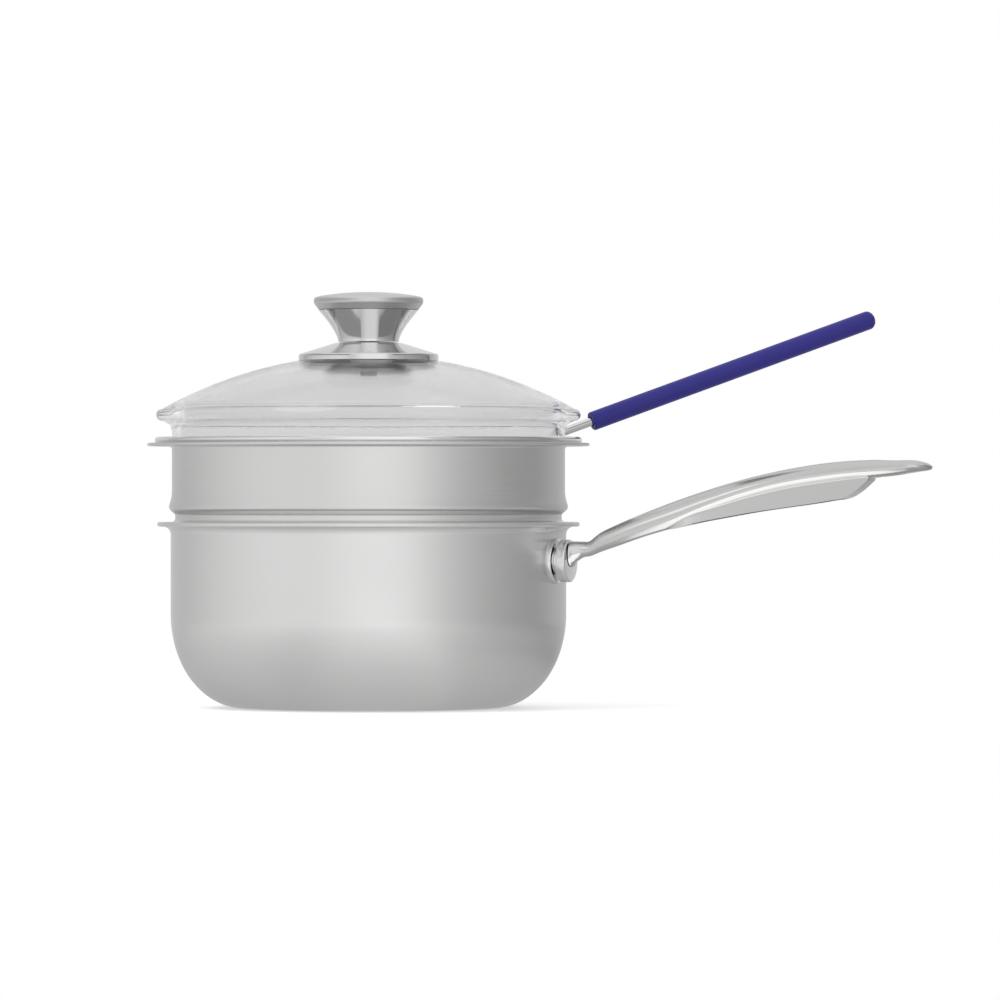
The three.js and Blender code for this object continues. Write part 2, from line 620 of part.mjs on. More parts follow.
function basketSleeve() {
  const bore = ROD_RADIUS + SEAT_GAP;
  const boreEnd = ROD_LENGTH - SLEEVE_START + SEAT_GAP;
  const tip = arcPoints(
    0, SLEEVE_LENGTH - SLEEVE_RADIUS, SLEEVE_RADIUS, SLEEVE_RADIUS, 0, 90, SLEEVE_TIP_STEPS);
  tip.at(-1).x = 0;
  const outline = [
    point(0, boreEnd), point(bore, boreEnd), point(bore, 0), point(SLEEVE_RADIUS - SLEEVE_EDGE, 0),
    point(SLEEVE_RADIUS, SLEEVE_EDGE), ...tip];
  const start = rodDirection.clone().multiplyScalar(SLEEVE_START).add(rodStraightStart);
  return revolve(outline, 2 * ROD_SIDES).rotateY(Math.PI / 2 - rodSlope).translate(start.x, 0, start.y);
}

// Glass lid. Its heights are counted from the top of the dome, whose edge stands at a set height over the
// foot of the collar.
const collarFootRadius = basketStepRadius - LID_PLAY;
const collarTopRadius = collarFootRadius + COLLAR_DRAFT;
const lidRadius = collarFootRadius + LID_OVERHANG;
const lidEdgeR = lidRadius - LID_EDGE_RADIUS;
const domeTop = (r, drop = 0) => Math.sqrt((DOME_RADIUS - drop) ** 2 - r ** 2) - DOME_RADIUS;
const lidHeight = LID_EDGE_TOP - domeTop(lidEdgeR);

function domeArc(fromRadius, toRadius, drop, steps) {
  return Array.from({ length: steps + 1 }, (_, i) => {
    const r = THREE.MathUtils.lerp(fromRadius, toRadius, i / steps);
    return point(r, domeTop(r, drop));
  });
}

function lidGlass() {
  const foot = -lidHeight;
  const shoulder = foot + COLLAR_HEIGHT;
  const collarInner = collarFootRadius - COLLAR_WALL;
  const lidEdgeZ = domeTop(lidEdgeR) - LID_EDGE_RADIUS;
  const edge = arcPoints(lidEdgeR, lidEdgeZ, LID_EDGE_RADIUS, LID_EDGE_RADIUS, 65, -90, 5);
  return revolve([
    ...domeArc(SCREW_HOLE_RADIUS, lidEdgeR, 0, DOME_STEPS),
    ...edge,
    point(collarTopRadius + COLLAR_ROOT, shoulder),
    point(collarTopRadius, shoulder - COLLAR_ROOT),
    point(collarFootRadius, foot),
    point(collarInner, foot),
    ...domeArc(collarInner, SCREW_HOLE_RADIUS, GLASS, DOME_STEPS)]);
}

const outerSealRadius = KNOB_BASE_RADIUS - 2 * KNOB_BASE_LIP;
const outerSealTop = SEAT_GAP + SEAL_THICKNESS;
const recessTop = outerSealTop + SEAT_GAP;

function lidSealOuter() {
  const lift = (list, height) => list.map((p) => point(p.x, p.y + height));
  const arc = domeArc(SCREW_HOLE_RADIUS, outerSealRadius, 0, 2);
  return revolve([...lift(arc, SEAT_GAP), ...lift(arc, outerSealTop).reverse()], SMALL_FACETS);
}

// Knob base, a shallow cone with a recess over the seal
const baseTopZ = KNOB_BASE_RISE;
const knobFootZ = baseTopZ + SEAT_GAP;

function knobBase() {
  const edgeFoot = domeTop(KNOB_BASE_RADIUS) + SEAT_GAP;
  const lipRoot = KNOB_BASE_RADIUS - KNOB_BASE_LIP;
  const recess = domeArc(SCREW_HOLE_RADIUS, lipRoot, 0, 2).map((p) => point(p.x, p.y + recessTop));
  return revolve([
    ...recess,
    point(lipRoot, domeTop(lipRoot) + SEAT_GAP),
    point(KNOB_BASE_RADIUS, edgeFoot),
    point(KNOB_BASE_RADIUS, edgeFoot + KNOB_BASE_EDGE),
    point(KNOB_NECK_RADIUS, baseTopZ),
    point(SCREW_HOLE_RADIUS, baseTopZ)], SMALL_FACETS);
}

// Knob body, a hollow trumpet closed by a web at the foot
const knobMouthZ = knobFootZ + KNOB_HEIGHT;
const trumpet = new THREE.QuadraticBezierCurve(
  point(KNOB_NECK_RADIUS, knobFootZ + 0.05 * KNOB_HEIGHT),
  point(KNOB_NECK_RADIUS + KNOB_NECK_FLARE, knobFootZ + 0.4 * KNOB_HEIGHT),
  point(KNOB_MOUTH_RADIUS, knobMouthZ));
const webTop = knobFootZ + KNOB_WEB;

function knobBody() {
  const outside = trumpet.getPoints(KNOB_CURVE_STEPS);
  const inside = outside.slice(1).map((p) => point(p.x - KNOB_WALL, p.y)).reverse();
  return revolve([
    point(SCREW_HOLE_RADIUS, knobFootZ),
    point(KNOB_NECK_RADIUS, knobFootZ),
    ...outside,
    ...inside,
    point(inside.at(-1).x, webTop),
    point(SCREW_HOLE_RADIUS, webTop)], SMALL_FACETS);
}

function knobInsert() {
  const bore = SCREW_RADIUS + SEAT_GAP;
  const foot = webTop + SEAT_GAP;
  return revolve([
    point(bore, foot), point(INSERT_RADIUS, foot), point(INSERT_RADIUS, foot + INSERT_HEIGHT),
    point(bore, foot + INSERT_HEIGHT)], SMALL_FACETS);
}

function knobCap() {
  const foot = knobMouthZ + SEAT_GAP;
  const edge = foot + KNOB_CAP_EDGE_RISE;
  const spigot = KNOB_MOUTH_RADIUS - KNOB_WALL - KNOB_SPIGOT;
  const top = foot + KNOB_CAP_HEIGHT;
  const crown = arcPoints(0, edge, KNOB_CAP_RADIUS, top - edge, 0, 90, 4);
  crown.at(-1).x = 0;
  return revolve([
    point(0, edge),
    point(spigot - KNOB_WALL, edge),
    point(spigot - KNOB_WALL, foot - KNOB_SPIGOT),
    point(spigot, foot - KNOB_SPIGOT),
    point(spigot, foot),
    point(KNOB_MOUTH_RADIUS, foot),
    ...crown], SMALL_FACETS);
}

// Fixings under the glass: seal, dished washer and screw, in that order
const innerSealTop = -SEAT_GAP;
const innerSealFoot = innerSealTop - SEAL_THICKNESS;
const washerTop = innerSealFoot - SEAT_GAP;
const washerFoot = washerTop - WASHER_THICKNESS;

function underGlass(radius, top, foot, holeRadius) {
  const arc = domeArc(holeRadius, radius, GLASS, 2);
  const upper = arc.map((p) => point(p.x, p.y + top));
  const lower = arc.map((p) => point(p.x, p.y + foot)).reverse();
  return revolve([...upper, ...lower], SMALL_FACETS);
}

function knobScrew() {
  const seat = domeTop(0, GLASS) + washerFoot - SEAT_GAP;
  const end = webTop + SEAT_GAP + INSERT_ENGAGEMENT;
  return revolve([
    point(0, seat - SCREW_HEAD_HEIGHT),
    point(SCREW_HEAD_RADIUS - SCREW_HEAD_CHAMFER, seat - SCREW_HEAD_HEIGHT),
    point(SCREW_HEAD_RADIUS, seat - SCREW_HEAD_HEIGHT + SCREW_HEAD_CHAMFER),
    point(SCREW_HEAD_RADIUS, seat),
    point(SCREW_RADIUS, seat),
    point(SCREW_RADIUS, end),
    point(0, end)], SMALL_FACETS);
}

// The stack, each vessel standing in the one below
const saucepan = new THREE.Group();
saucepan.add(
  part('pan_body', panBody(), satinSteel()),
  part('handle_pad', handlePad(), polishedSteel()),
  part('handle_boss', handleBoss(), polishedSteel()),
  part('handle', handle(), castSteel()));

const steamer = new THREE.Group();
steamer.position.z = steamerSeat.y;
steamer.add(part('steamer_body', steamerBody(), satinSteel()));
saucepan.add(steamer);

const basket = new THREE.Group();
basket.position.z = steamerFlangeTop + SEAT_GAP;
const basketHandle = new THREE.Group();
basketHandle.rotation.z = THREE.MathUtils.degToRad(ROD_AZIMUTH);
basketHandle.add(
  part('basket_rod', basketRod(), polishedSteel()),
  part('basket_sleeve', basketSleeve(), blueSilicone()));
basket.add(
  part('basket_rim', basketRim(), polishedSteel()),
  part('basket_wall', basketWall(), meshSteel()),
  part('basket_hoop', basketHoop(), polishedSteel()),
  part('basket_floor', basketFloor(), meshSteel()),
  basketHandle);
steamer.add(basket);

const lid = new THREE.Group();
lid.position.z = ledgeTop + SEAT_GAP + lidHeight;
lid.add(
  part('lid_glass', lidGlass(), clearGlass()),
  part('lid_seal_outer', lidSealOuter(), greySilicone()),
  part('knob_base', knobBase(), polishedSteel()),
  part('knob_body', knobBody(), polishedSteel()),
  part('knob_insert', knobInsert(), castSteel()),
  part('knob_cap', knobCap(), polishedSteel()),
  part('lid_seal_inner', underGlass(INNER_SEAL_RADIUS, innerSealTop, innerSealFoot, SCREW_HOLE_RADIUS),
    greySilicone()),
  part('knob_washer', underGlass(WASHER_RADIUS, washerTop, washerFoot, SCREW_HOLE_RADIUS), polishedSteel()),
  part('knob_screw', knobScrew(), castSteel()));
basket.add(lid);

export default saucepan;
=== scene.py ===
import math

import bpy
import numpy as np
from mathutils import Matrix, Vector


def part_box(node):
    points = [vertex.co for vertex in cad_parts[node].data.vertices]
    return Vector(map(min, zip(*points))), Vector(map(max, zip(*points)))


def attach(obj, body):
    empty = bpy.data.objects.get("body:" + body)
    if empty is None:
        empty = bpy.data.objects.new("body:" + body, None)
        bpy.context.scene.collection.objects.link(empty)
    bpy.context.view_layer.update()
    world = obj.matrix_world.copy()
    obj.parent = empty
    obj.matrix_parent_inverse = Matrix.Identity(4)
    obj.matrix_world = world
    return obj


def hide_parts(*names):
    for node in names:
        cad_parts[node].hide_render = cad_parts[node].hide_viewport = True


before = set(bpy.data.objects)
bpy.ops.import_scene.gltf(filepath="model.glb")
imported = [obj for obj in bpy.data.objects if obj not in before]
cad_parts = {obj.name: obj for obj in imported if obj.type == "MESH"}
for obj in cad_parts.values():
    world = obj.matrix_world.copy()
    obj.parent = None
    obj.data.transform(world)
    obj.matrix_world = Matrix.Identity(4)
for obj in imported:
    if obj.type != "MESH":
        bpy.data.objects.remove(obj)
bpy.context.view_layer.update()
scene = bpy.context.scene
mm = 0.001
print("frame loaded:", len(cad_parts), "solids")


# lines and curves in (radius, height), millimetres

roundLimit = 0.48  # the most of a side that a rounded corner may take


def around(count):  # angles spaced evenly round a full turn
    return [2 * math.pi * k / count for k in range(count)]


def onTurn(r, t, z):  # a point at a radius, an angle and a height, in metres
    return (r * math.cos(t) * mm, r * math.sin(t) * mm, z * mm)


def arc(centre, radius, fromDegrees, toDegrees, steps, upright=None):  # upright makes an ellipse
    upright = radius if upright is None else upright
    turns = np.radians(np.linspace(fromDegrees, toDegrees, steps + 1))
    return [(centre[0] + radius * math.cos(t), centre[1] + upright * math.sin(t)) for t in turns]


def bend(start, middle, end, steps):
    out = []
    for t in np.linspace(0, 1, steps + 1):
        a, b, c = (1 - t) ** 2, 2 * t * (1 - t), t * t
        out.append(tuple(a * start[k] + b * middle[k] + c * end[k] for k in (0, 1)))
    return out


def softened(corners, steps=6):  # each corner is (r, z, round), and a round shrinks where room is short
    out = [corners[0][:2]]
    for before, corner, after in zip(corners, corners[1:], corners[2:]):
        p, q, s = (Vector(c[:2]) for c in (before, corner, after))
        back, ahead = p - q, s - q
        reach = min(corner[2], back.length * roundLimit, ahead.length * roundLimit)
        if reach <= 0:
            out.append(tuple(q))
        else:
            out += bend(q + back.normalized() * reach, q, q + ahead.normalized() * reach, steps)
    return out + [corners[-1][:2]]


def shifted(path, distance):  # to the right of the path as it runs
    points = [Vector(p) for p in path]
    runs = [(b - a).normalized() for a, b in zip(points, points[1:])]
    sides = [Vector((r.y, -r.x)) for r in runs]
    out = []
    for i, p in enumerate(points):
        a, b = sides[max(i - 1, 0)], sides[min(i, len(sides) - 1)]
        out.append(tuple(p + (a + b) * (distance / (1 + a.dot(b)))))
    return out


def sheet(path, thickness):
    return list(path) + shifted(path, thickness)[::-1]


# meshes

crispAngle = 35  # degrees from which an edge is shaded sharp
onAxis = 1e-6  # a radius below this lies on the axis


def newPiece(name, verts, faces, sharpDegrees=crispAngle):
    mesh = bpy.data.meshes.new(name)
    mesh.from_pydata([tuple(v) for v in verts], [], faces)
    mesh.validate()
    mesh.update()
    mesh.shade_smooth()
    mesh.set_sharp_from_angle(angle=math.radians(sharpDegrees))
    piece = bpy.data.objects.new(name, mesh)
    scene.collection.objects.link(piece)
    return piece


def signedArea(outline):
    return sum(a[0] * b[1] - b[0] * a[1] for a, b in zip(outline, outline[1:] + outline[:1])) / 2


def turned(name, outline, segments, place=None):  # a closed outline turned about Z
    outline = [tuple(p) for p in outline]
    if signedArea(outline) < 0:
        outline.reverse()
    verts, rows, faces = [], [], []
    turns = around(segments)
    for r, z in outline:
        first = len(verts)
        if r < onAxis:
            rows.append([first])
            verts.append((0, 0, z * mm))
        else:
            rows.append(list(range(first, first + segments)))
            verts += [onTurn(r, t, z) for t in turns]
    for low, high in zip(rows, rows[1:] + rows[:1]):
        if len(low) == 1 and len(high) == 1:
            continue
        for k in range(segments):
            n = (k + 1) % segments
            if len(low) == 1:
                faces.append((low[0], high[n], high[k]))
            elif len(high) == 1:
                faces.append((low[k], low[n], high[0]))
            else:
                faces.append((low[k], low[n], high[n], high[k]))
    if place is not None:
        verts = [place @ Vector(v) for v in verts]
    return newPiece(name, verts, faces)


def lofted(name, rings, sharpDegrees=crispAngle):  # rings of equal count, closed at both ends
    count = len(rings[0])
    verts = [v for ring in rings for v in ring]
    faces = []
    for i in range(len(rings) - 1):
        here, there = i * count, (i + 1) * count
        for k in range(count):
            n = (k + 1) % count
            faces.append((here + k, here + n, there + n, there + k))
    faces.append(tuple(reversed(range(count))))
    faces.append(tuple(range((len(rings) - 1) * count, len(rings) * count)))
    return newPiece(name, verts, faces, sharpDegrees)


def tubeRings(points, radius, sides):
    points = np.asarray(points)
    ahead = np.gradient(points, axis=0)
    ahead /= np.linalg.norm(ahead, axis=1, keepdims=True)
    lean = np.array((0.31, 0.23, 0.92))  # a direction that no wire runs along
    across = np.cross(ahead, lean)
    across /= np.linalg.norm(across, axis=1, keepdims=True)
    up = np.cross(ahead, across)
    turns = np.linspace(0, 2 * math.pi, sides, endpoint=False)
    return points[:, None, :] + radius * (
        across[:, None, :] * np.cos(turns)[None, :, None] + up[:, None, :] * np.sin(turns)[None, :, None])


def wireMesh(name, wires, radius, sides=5):  # many wires in one piece; each wire is (points, closed)
    verts, faces = [], []
    for points, closed in wires:
        rings = tubeRings(points, radius, sides)
        first, rows = len(verts), len(rings)
        verts += [tuple(v) for v in rings.reshape(-1, 3)]
        for i in range(rows if closed else rows - 1):
            here, there = first + i * sides, first + (i + 1) % rows * sides
            for k in range(sides):
                n = (k + 1) % sides
                faces.append((here + k, there + k, there + n, here + n))
        if not closed:
            last = first + (rows - 1) * sides
            faces.append(tuple(first + k for k in range(sides)))
            faces.append(tuple(last + k for k in reversed(range(sides))))
    return newPiece(name, verts, faces, sharpDegrees=60)


def drilled(piece, cutter):
    tool = piece.modifiers.new("drill", "BOOLEAN")
    tool.operation = "DIFFERENCE"
    tool.object = cutter
    tool.solver = "EXACT"
    seen = bpy.context.evaluated_depsgraph_get()
    result = bpy.data.meshes.new_from_object(piece.evaluated_get(seen))
    piece.modifiers.clear()
    old = piece.data
    piece.data = result
    bpy.data.meshes.remove(old)
    bpy.data.objects.remove(cutter)
    piece.data.set_sharp_from_angle(angle=math.radians(crispAngle))
    return piece


def fitted(piece, body, node, material):
    piece.data.materials.clear()
    piece.data.materials.append(material)
    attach(piece, body)
    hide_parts(node)
    return piece


# materials

mixFirst, mixSecond, mixResult = 6, 7, 2  # the Mix node's colour sockets
steelLook = {
    "aroundRun": 1.5, "alongRun": 18,  # how fast a brush line changes along its own length
    "alongTurn": 0.25,  # turn of the glints along the handle
    "brushDetail": 6, "brushRoughness": 0.7, "brushVary": 0.15, "brushDepth": 0.02,
    "markScale": 26, "markDetail": 3, "markVary": 0.03,  # faint handling marks
}
rubberLook = {
    "ior": 1.35, "sheen": 0.03, "detail": 4, "darkest": 0.3, "smoothest": 0.9, "roughest": 1.15,
    "bump": 0.12, "depth": 0.05,
}
glassLook = {
    "tint": (0.805, 0.805, 0.805), "ior": 1.06, "coat": 0.6, "coatRoughness": 0.04,
    "roughness": 0.1, "vary": 0.3,
    "waveScale": 34, "waveDetail": 2, "bump": 0.06, "depth": 0.2,  # slow waves that pressing leaves
}


def newMaterial(name):
    material = bpy.data.materials.new(name)
    material.use_nodes = True
    nodes = material.node_tree.nodes
    return material, nodes, nodes["Principled BSDF"]


def plug(source, socket):  # a link in the tree that both belong to
    socket.id_data.links.new(source, socket)


def setInputs(node, values):
    for name, value in values.items():
        node.inputs[name].default_value = value


def mathNode(nodes, operation, *values):
    node = nodes.new("ShaderNodeMath")
    node.operation = operation
    for socket, value in zip(node.inputs, values):
        if isinstance(value, (int, float)):
            socket.default_value = value
        else:
            plug(value, socket)
    return node.outputs[0]


def spread(nodes, value, low, high):
    node = nodes.new("ShaderNodeMapRange")
    setInputs(node, {"To Min": low, "To Max": high})
    plug(value, node.inputs["Value"])
    return node.outputs["Result"]


def objectPlace(nodes):
    return nodes.new("ShaderNodeTexCoord").outputs["Object"]


def noise(nodes, place, scale, detail, roughness=0.5):
    node = nodes.new("ShaderNodeTexNoise")
    setInputs(node, {"Scale": scale, "Detail": detail, "Roughness": roughness})
    plug(place, node.inputs["Vector"])
    return node.outputs["Fac"]


def addTint(nodes, shader, share, first, second):
    mix = nodes.new("ShaderNodeMix")
    mix.data_type = "RGBA"
    setInputs(mix, {mixFirst: (*first, 1), mixSecond: (*second, 1)})
    plug(share, mix.inputs[0])
    plug(mix.outputs[mixResult], shader.inputs["Base Color"])


def addBump(nodes, shader, height, strength, depth):
    bump = nodes.new("ShaderNodeBump")
    setInputs(bump, {"Strength": strength, "Distance": depth * mm})
    plug(height, bump.inputs["Height"])
    plug(bump.outputs["Normal"], shader.inputs["Normal"])


def grainVector(nodes, grain, fine):  # brush lines run round the axis or along the handle
    split = nodes.new("ShaderNodeSeparateXYZ")
    plug(objectPlace(nodes), split.inputs[0])
    x, y, z = split.outputs
    if grain == "round":
        xx = mathNode(nodes, "MULTIPLY", x, x)
        yy = mathNode(nodes, "MULTIPLY", y, y)
        along = mathNode(nodes, "ARCTAN2", y, x)
        across = mathNode(nodes, "SQRT", mathNode(nodes, "ADD", xx, yy))
        run = steelLook["aroundRun"]
    else:
        along, across = x, y
        run = steelLook["alongRun"]
    join = nodes.new("ShaderNodeCombineXYZ")
    for socket, value, scale in zip(join.inputs, (along, across, z), (run, fine, fine)):
        plug(mathNode(nodes, "MULTIPLY", value, scale), socket)
    return join.outputs[0]


def steel(name, tint, roughness, grain="round", fine=900, lines=0.015, stretch=0.2):
    material, nodes, shader = newMaterial(name)
    look = steelLook
    turn = 0 if grain == "round" else look["alongTurn"]
    setInputs(shader, {"Metallic": 1, "Anisotropic": stretch, "Anisotropic Rotation": turn})
    brush = noise(nodes, grainVector(nodes, grain, fine), 1, look["brushDetail"], look["brushRoughness"])
    marks = noise(nodes, objectPlace(nodes), look["markScale"], look["markDetail"])
    dark = [c * (1 - lines) for c in tint]
    light = [min(1, c * (1 + lines)) for c in tint]
    addTint(nodes, shader, brush, dark, light)
    smooth, rough = roughness * (1 - look["brushVary"]), roughness * (1 + look["brushVary"])
    fromBrush = spread(nodes, brush, smooth, rough)
    fromMarks = spread(nodes, marks, -look["markVary"], look["markVary"])
    plug(mathNode(nodes, "ADD", fromBrush, fromMarks), shader.inputs["Roughness"])
    addBump(nodes, shader, brush, lines, look["brushDepth"])
    if stretch:
        tangent = nodes.new("ShaderNodeTangent")
        tangent.direction_type = "RADIAL"
        tangent.axis = "Z" if grain == "round" else "X"
        plug(tangent.outputs[0], shader.inputs["Tangent"])
    return material


def rubber(name, tint, dark, roughness, grainSize):
    material, nodes, shader = newMaterial(name)
    look = rubberLook
    setInputs(shader, {"IOR": look["ior"], "Sheen Weight": look["sheen"]})
    speck = noise(nodes, objectPlace(nodes), 1 / (grainSize * mm), look["detail"])
    addTint(nodes, shader, spread(nodes, speck, look["darkest"], 1), dark, tint)
    smooth, rough = roughness * look["smoothest"], roughness * look["roughest"]
    plug(spread(nodes, speck, smooth, rough), shader.inputs["Roughness"])
    addBump(nodes, shader, speck, look["bump"], look["depth"])
    return material


def pressedGlass(name):
    material, nodes, shader = newMaterial(name)
    look = glassLook
    setInputs(shader, {
        "Base Color": (*look["tint"], 1), "Transmission Weight": 1, "IOR": look["ior"],
        "Coat Weight": look["coat"], "Coat Roughness": look["coatRoughness"]})
    wave = noise(nodes, objectPlace(nodes), look["waveScale"], look["waveDetail"])
    smooth, rough = look["roughness"] * (1 - look["vary"]), look["roughness"] * (1 + look["vary"])
    plug(spread(nodes, wave, smooth, rough), shader.inputs["Roughness"])
    addBump(nodes, shader, wave, look["bump"], look["depth"])
    return material


wallSteel = steel("wallSteel", (0.86, 0.86, 0.855), 0.25, fine=2600, lines=0.04, stretch=1)
steamerSteel = steel("steamerSteel", (0.805, 0.805, 0.8), 0.25, fine=2600, lines=0.04, stretch=1)
mirrorSteel = steel("mirrorSteel", (0.88, 0.88, 0.88), 0.09)
knobSteel = steel("knobSteel", (0.8, 0.8, 0.8), 0.08)
satinSteel = steel("satinSteel", (0.76, 0.76, 0.76), 0.46)
gripSteel = steel("gripSteel", (0.67, 0.67, 0.665), 0.2, grain="long", fine=3600, lines=0.035, stretch=0.45)
wireSteel = steel("wireSteel", (0.74, 0.74, 0.74), 0.24, fine=1200, lines=0.04, stretch=0)
sleeveBlue = rubber("sleeveBlue", (0.03, 0.026, 0.26), (0.022, 0.018, 0.19), 0.42, 0.5)
sealGrey = rubber("sealGrey", (0.46, 0.47, 0.48), (0.4, 0.41, 0.42), 0.55, 0.6)
lidGlassLook = pressedGlass("lidGlassLook")
print("materials ready")


# camera: level, long lens, as the photo was taken

shot = {
    "azimuth": 19.5, "distance": 3.584, "aside": 67.3, "height": 106.2,
    "lens": 252, "sensor": 36, "farthest": 50,
}


def addCamera():
    a = math.radians(shot["azimuth"])
    right = Vector((math.cos(a), math.sin(a), 0))
    back = Vector((math.sin(a), -math.cos(a), 0))
    data = bpy.data.cameras.new("photoCamera")
    data.lens = shot["lens"]
    data.sensor_width = shot["sensor"]
    data.clip_end = shot["farthest"]
    camera = bpy.data.objects.new("photoCamera", data)
    level = Vector((0, 0, shot["height"] * mm))
    camera.location = right * shot["aside"] * mm + back * shot["distance"] + level
    camera.rotation_euler = (math.pi / 2, 0, a)
    scene.collection.objects.link(camera)
    scene.camera = camera


# studio: white surround, reflecting cards and one soft lamp

studio = {
    "fill": 0.8, "lampPower": 20, "lampSize": 1.6, "lampAt": (-0.9, -1.6, 2.2), "lampAim": (0, 0, 0.1),
    "cardRadius": 2.4, "cardLow": -1, "cardHigh": 2.6, "cardGain": 0.975, "ceiling": 0.8,
    "cards": (  # degrees to the right, and grey
        (-180, 0.78), (-160, 0.66), (-136, 0.6), (-130, 0.46), (-126, 0.47), (-118, 0.56), (-95, 0.69),
        (-58, 0.82), (-46, 0.84), (-34, 0.77), (-27, 0.7), (-18, 0.82), (-8, 0.97), (22, 1), (29, 0.95),
        (37, 0.62), (62, 0.45), (92, 0.35), (114, 0.27), (119, 0.31), (126, 0.5), (150, 0.64), (180, 0.78)),
    "flags": (0.19, 0.275, 0.15), "flagPoints": 17,  # low, high and radius of the dark flags
    "leftFlag": (-26, -110, 0.36), "rightFlag": (37, 96, 0.27),  # from, to and grey
    "table": (  # radius, grey and share; the darker greys near the pan are painted shadow of the pan on the table
        (0.06, 0.44, 1), (0.1, 0.5, 0.8), (0.13, 0.5, 0.6), (0.16, 0.45, 0.4), (0.22, 0.5, 0.3),
        (0.42, 0.65, 0)),
    "strips": (  # name, strength, span along the handle, and rows at these reaches from it
        ("rootStrip", 0.75, (0.06, 0.5),
         ((-0.092, -0.232, 0.046), (-0.092, -0.232, 0.027), (-0.092, -0.232, 0.008))),
        ("tipStrip", 0.95, (0.36, 1.05),
         ((-0.043, -0.095, -0.085), (-0.041, -0.072, -0.097), (-0.036, 0, -0.1), (-0.036, 0.05, -0.09)))),
    "stripPoints": 30,
    "floorRadius": 0.62, "floorSides": 96, "floorDrop": 0.0002, "floorFade": 0.45,
    "floorTint": 0.9, "floorRoughness": 0.8, "floorGloss": 0.1, "floorGlow": 0.35,
}


def eitherRay(nodes, first, *others):  # 1 for the named kinds of ray, 0 for the rest
    kinds = nodes.new("ShaderNodeLightPath").outputs
    seen = kinds[first]
    for name in others:
        seen = mathNode(nodes, "MAXIMUM", seen, kinds[name])
    return seen


def addWorld():
    world = bpy.data.worlds.new("studioWorld")
    scene.world = world
    world.use_nodes = True
    nodes = world.node_tree.nodes
    nodes.clear()
    blend = nodes.new("ShaderNodeMixShader")
    plug(eitherRay(nodes, "Is Camera Ray", "Is Glossy Ray", "Is Transmission Ray"), blend.inputs[0])
    for socket, strength in zip(blend.inputs[1:], (studio["fill"], 1)):
        light = nodes.new("ShaderNodeBackground")
        setInputs(light, {"Color": (1, 1, 1, 1), "Strength": strength})
        plug(light.outputs[0], socket)
    out = nodes.new("ShaderNodeOutputWorld")
    plug(blend.outputs[0], out.inputs[0])


def greyRamp(nodes, value, stops):  # stops are (place, grey) or (place, grey, share)
    ramp = nodes.new("ShaderNodeValToRGB")
    plug(value, ramp.inputs[0])
    marks = ramp.color_ramp.elements
    for i, (spot, grey, *share) in enumerate(stops):
        mark = marks[0] if i == 0 else marks[-1] if i == len(stops) - 1 else marks.new(spot)
        mark.position = spot
        mark.color = (grey, grey, grey, share[0] if share else 1)
    return ramp.outputs


def fromCentre(nodes, place):
    length = nodes.new("ShaderNodeVectorMath")
    length.operation = "LENGTH"
    plug(place, length.inputs[0])
    return length.outputs["Value"]


def glowMaterial(name):
    material, nodes, shader = newMaterial(name)
    nodes.remove(shader)
    glow = nodes.new("ShaderNodeEmission")
    plug(glow.outputs[0], nodes["Material Output"].inputs[0])
    return material, nodes, glow


def cardMaterial(name, near=None):  # a glowing card: grey by direction, and near the object by distance
    material, nodes, glow = glowMaterial(name)
    place = objectPlace(nodes)
    split = nodes.new("ShaderNodeSeparateXYZ")
    plug(place, split.inputs[0])
    x, y = split.outputs[:2]
    turn = mathNode(nodes, "ARCTAN2", x, mathNode(nodes, "MULTIPLY", y, -1))
    share = mathNode(nodes, "ADD", mathNode(nodes, "DIVIDE", turn, 2 * math.pi), 0.5)
    stops = [(degrees / 360 + 0.5, grey) for degrees, grey in studio["cards"]]
    colour = greyRamp(nodes, share, stops)[0]
    if near:
        # greys by distance from the object: on the table card these paint the object's shadow
        close = greyRamp(nodes, fromCentre(nodes, place), near)
        blend = nodes.new("ShaderNodeMix")
        blend.data_type = "RGBA"
        plug(close[1], blend.inputs[0])
        plug(colour, blend.inputs[mixFirst])
        plug(close[0], blend.inputs[mixSecond])
        colour = blend.outputs[mixResult]
    plug(colour, glow.inputs["Color"])
    glow.inputs["Strength"].default_value = studio["cardGain"]
    return material


def plainCard(name, grey, clear=False):  # one grey; a clear card adds its light to what is behind it
    material, nodes, glow = glowMaterial(name)
    glow.inputs["Strength"].default_value = grey
    if clear:
        both = nodes.new("ShaderNodeAddShader")
        plug(glow.outputs[0], both.inputs[0])
        plug(nodes.new("ShaderNodeBsdfTransparent").outputs[0], both.inputs[1])
        plug(both.outputs[0], nodes["Material Output"].inputs[0])
    return material


def addCard(name, verts, faces, material):  # seen in reflections only
    card = newPiece(name, verts, faces)
    card.rotation_euler = (0, 0, math.radians(shot["azimuth"]))
    card.data.materials.append(material)
    for switch in ("visible_camera", "visible_diffuse", "visible_transmission", "visible_shadow"):
        setattr(card, switch, False)
    return card


def circle(radius, z, count=64):
    return [(radius * math.cos(t), radius * math.sin(t), z) for t in around(count)]


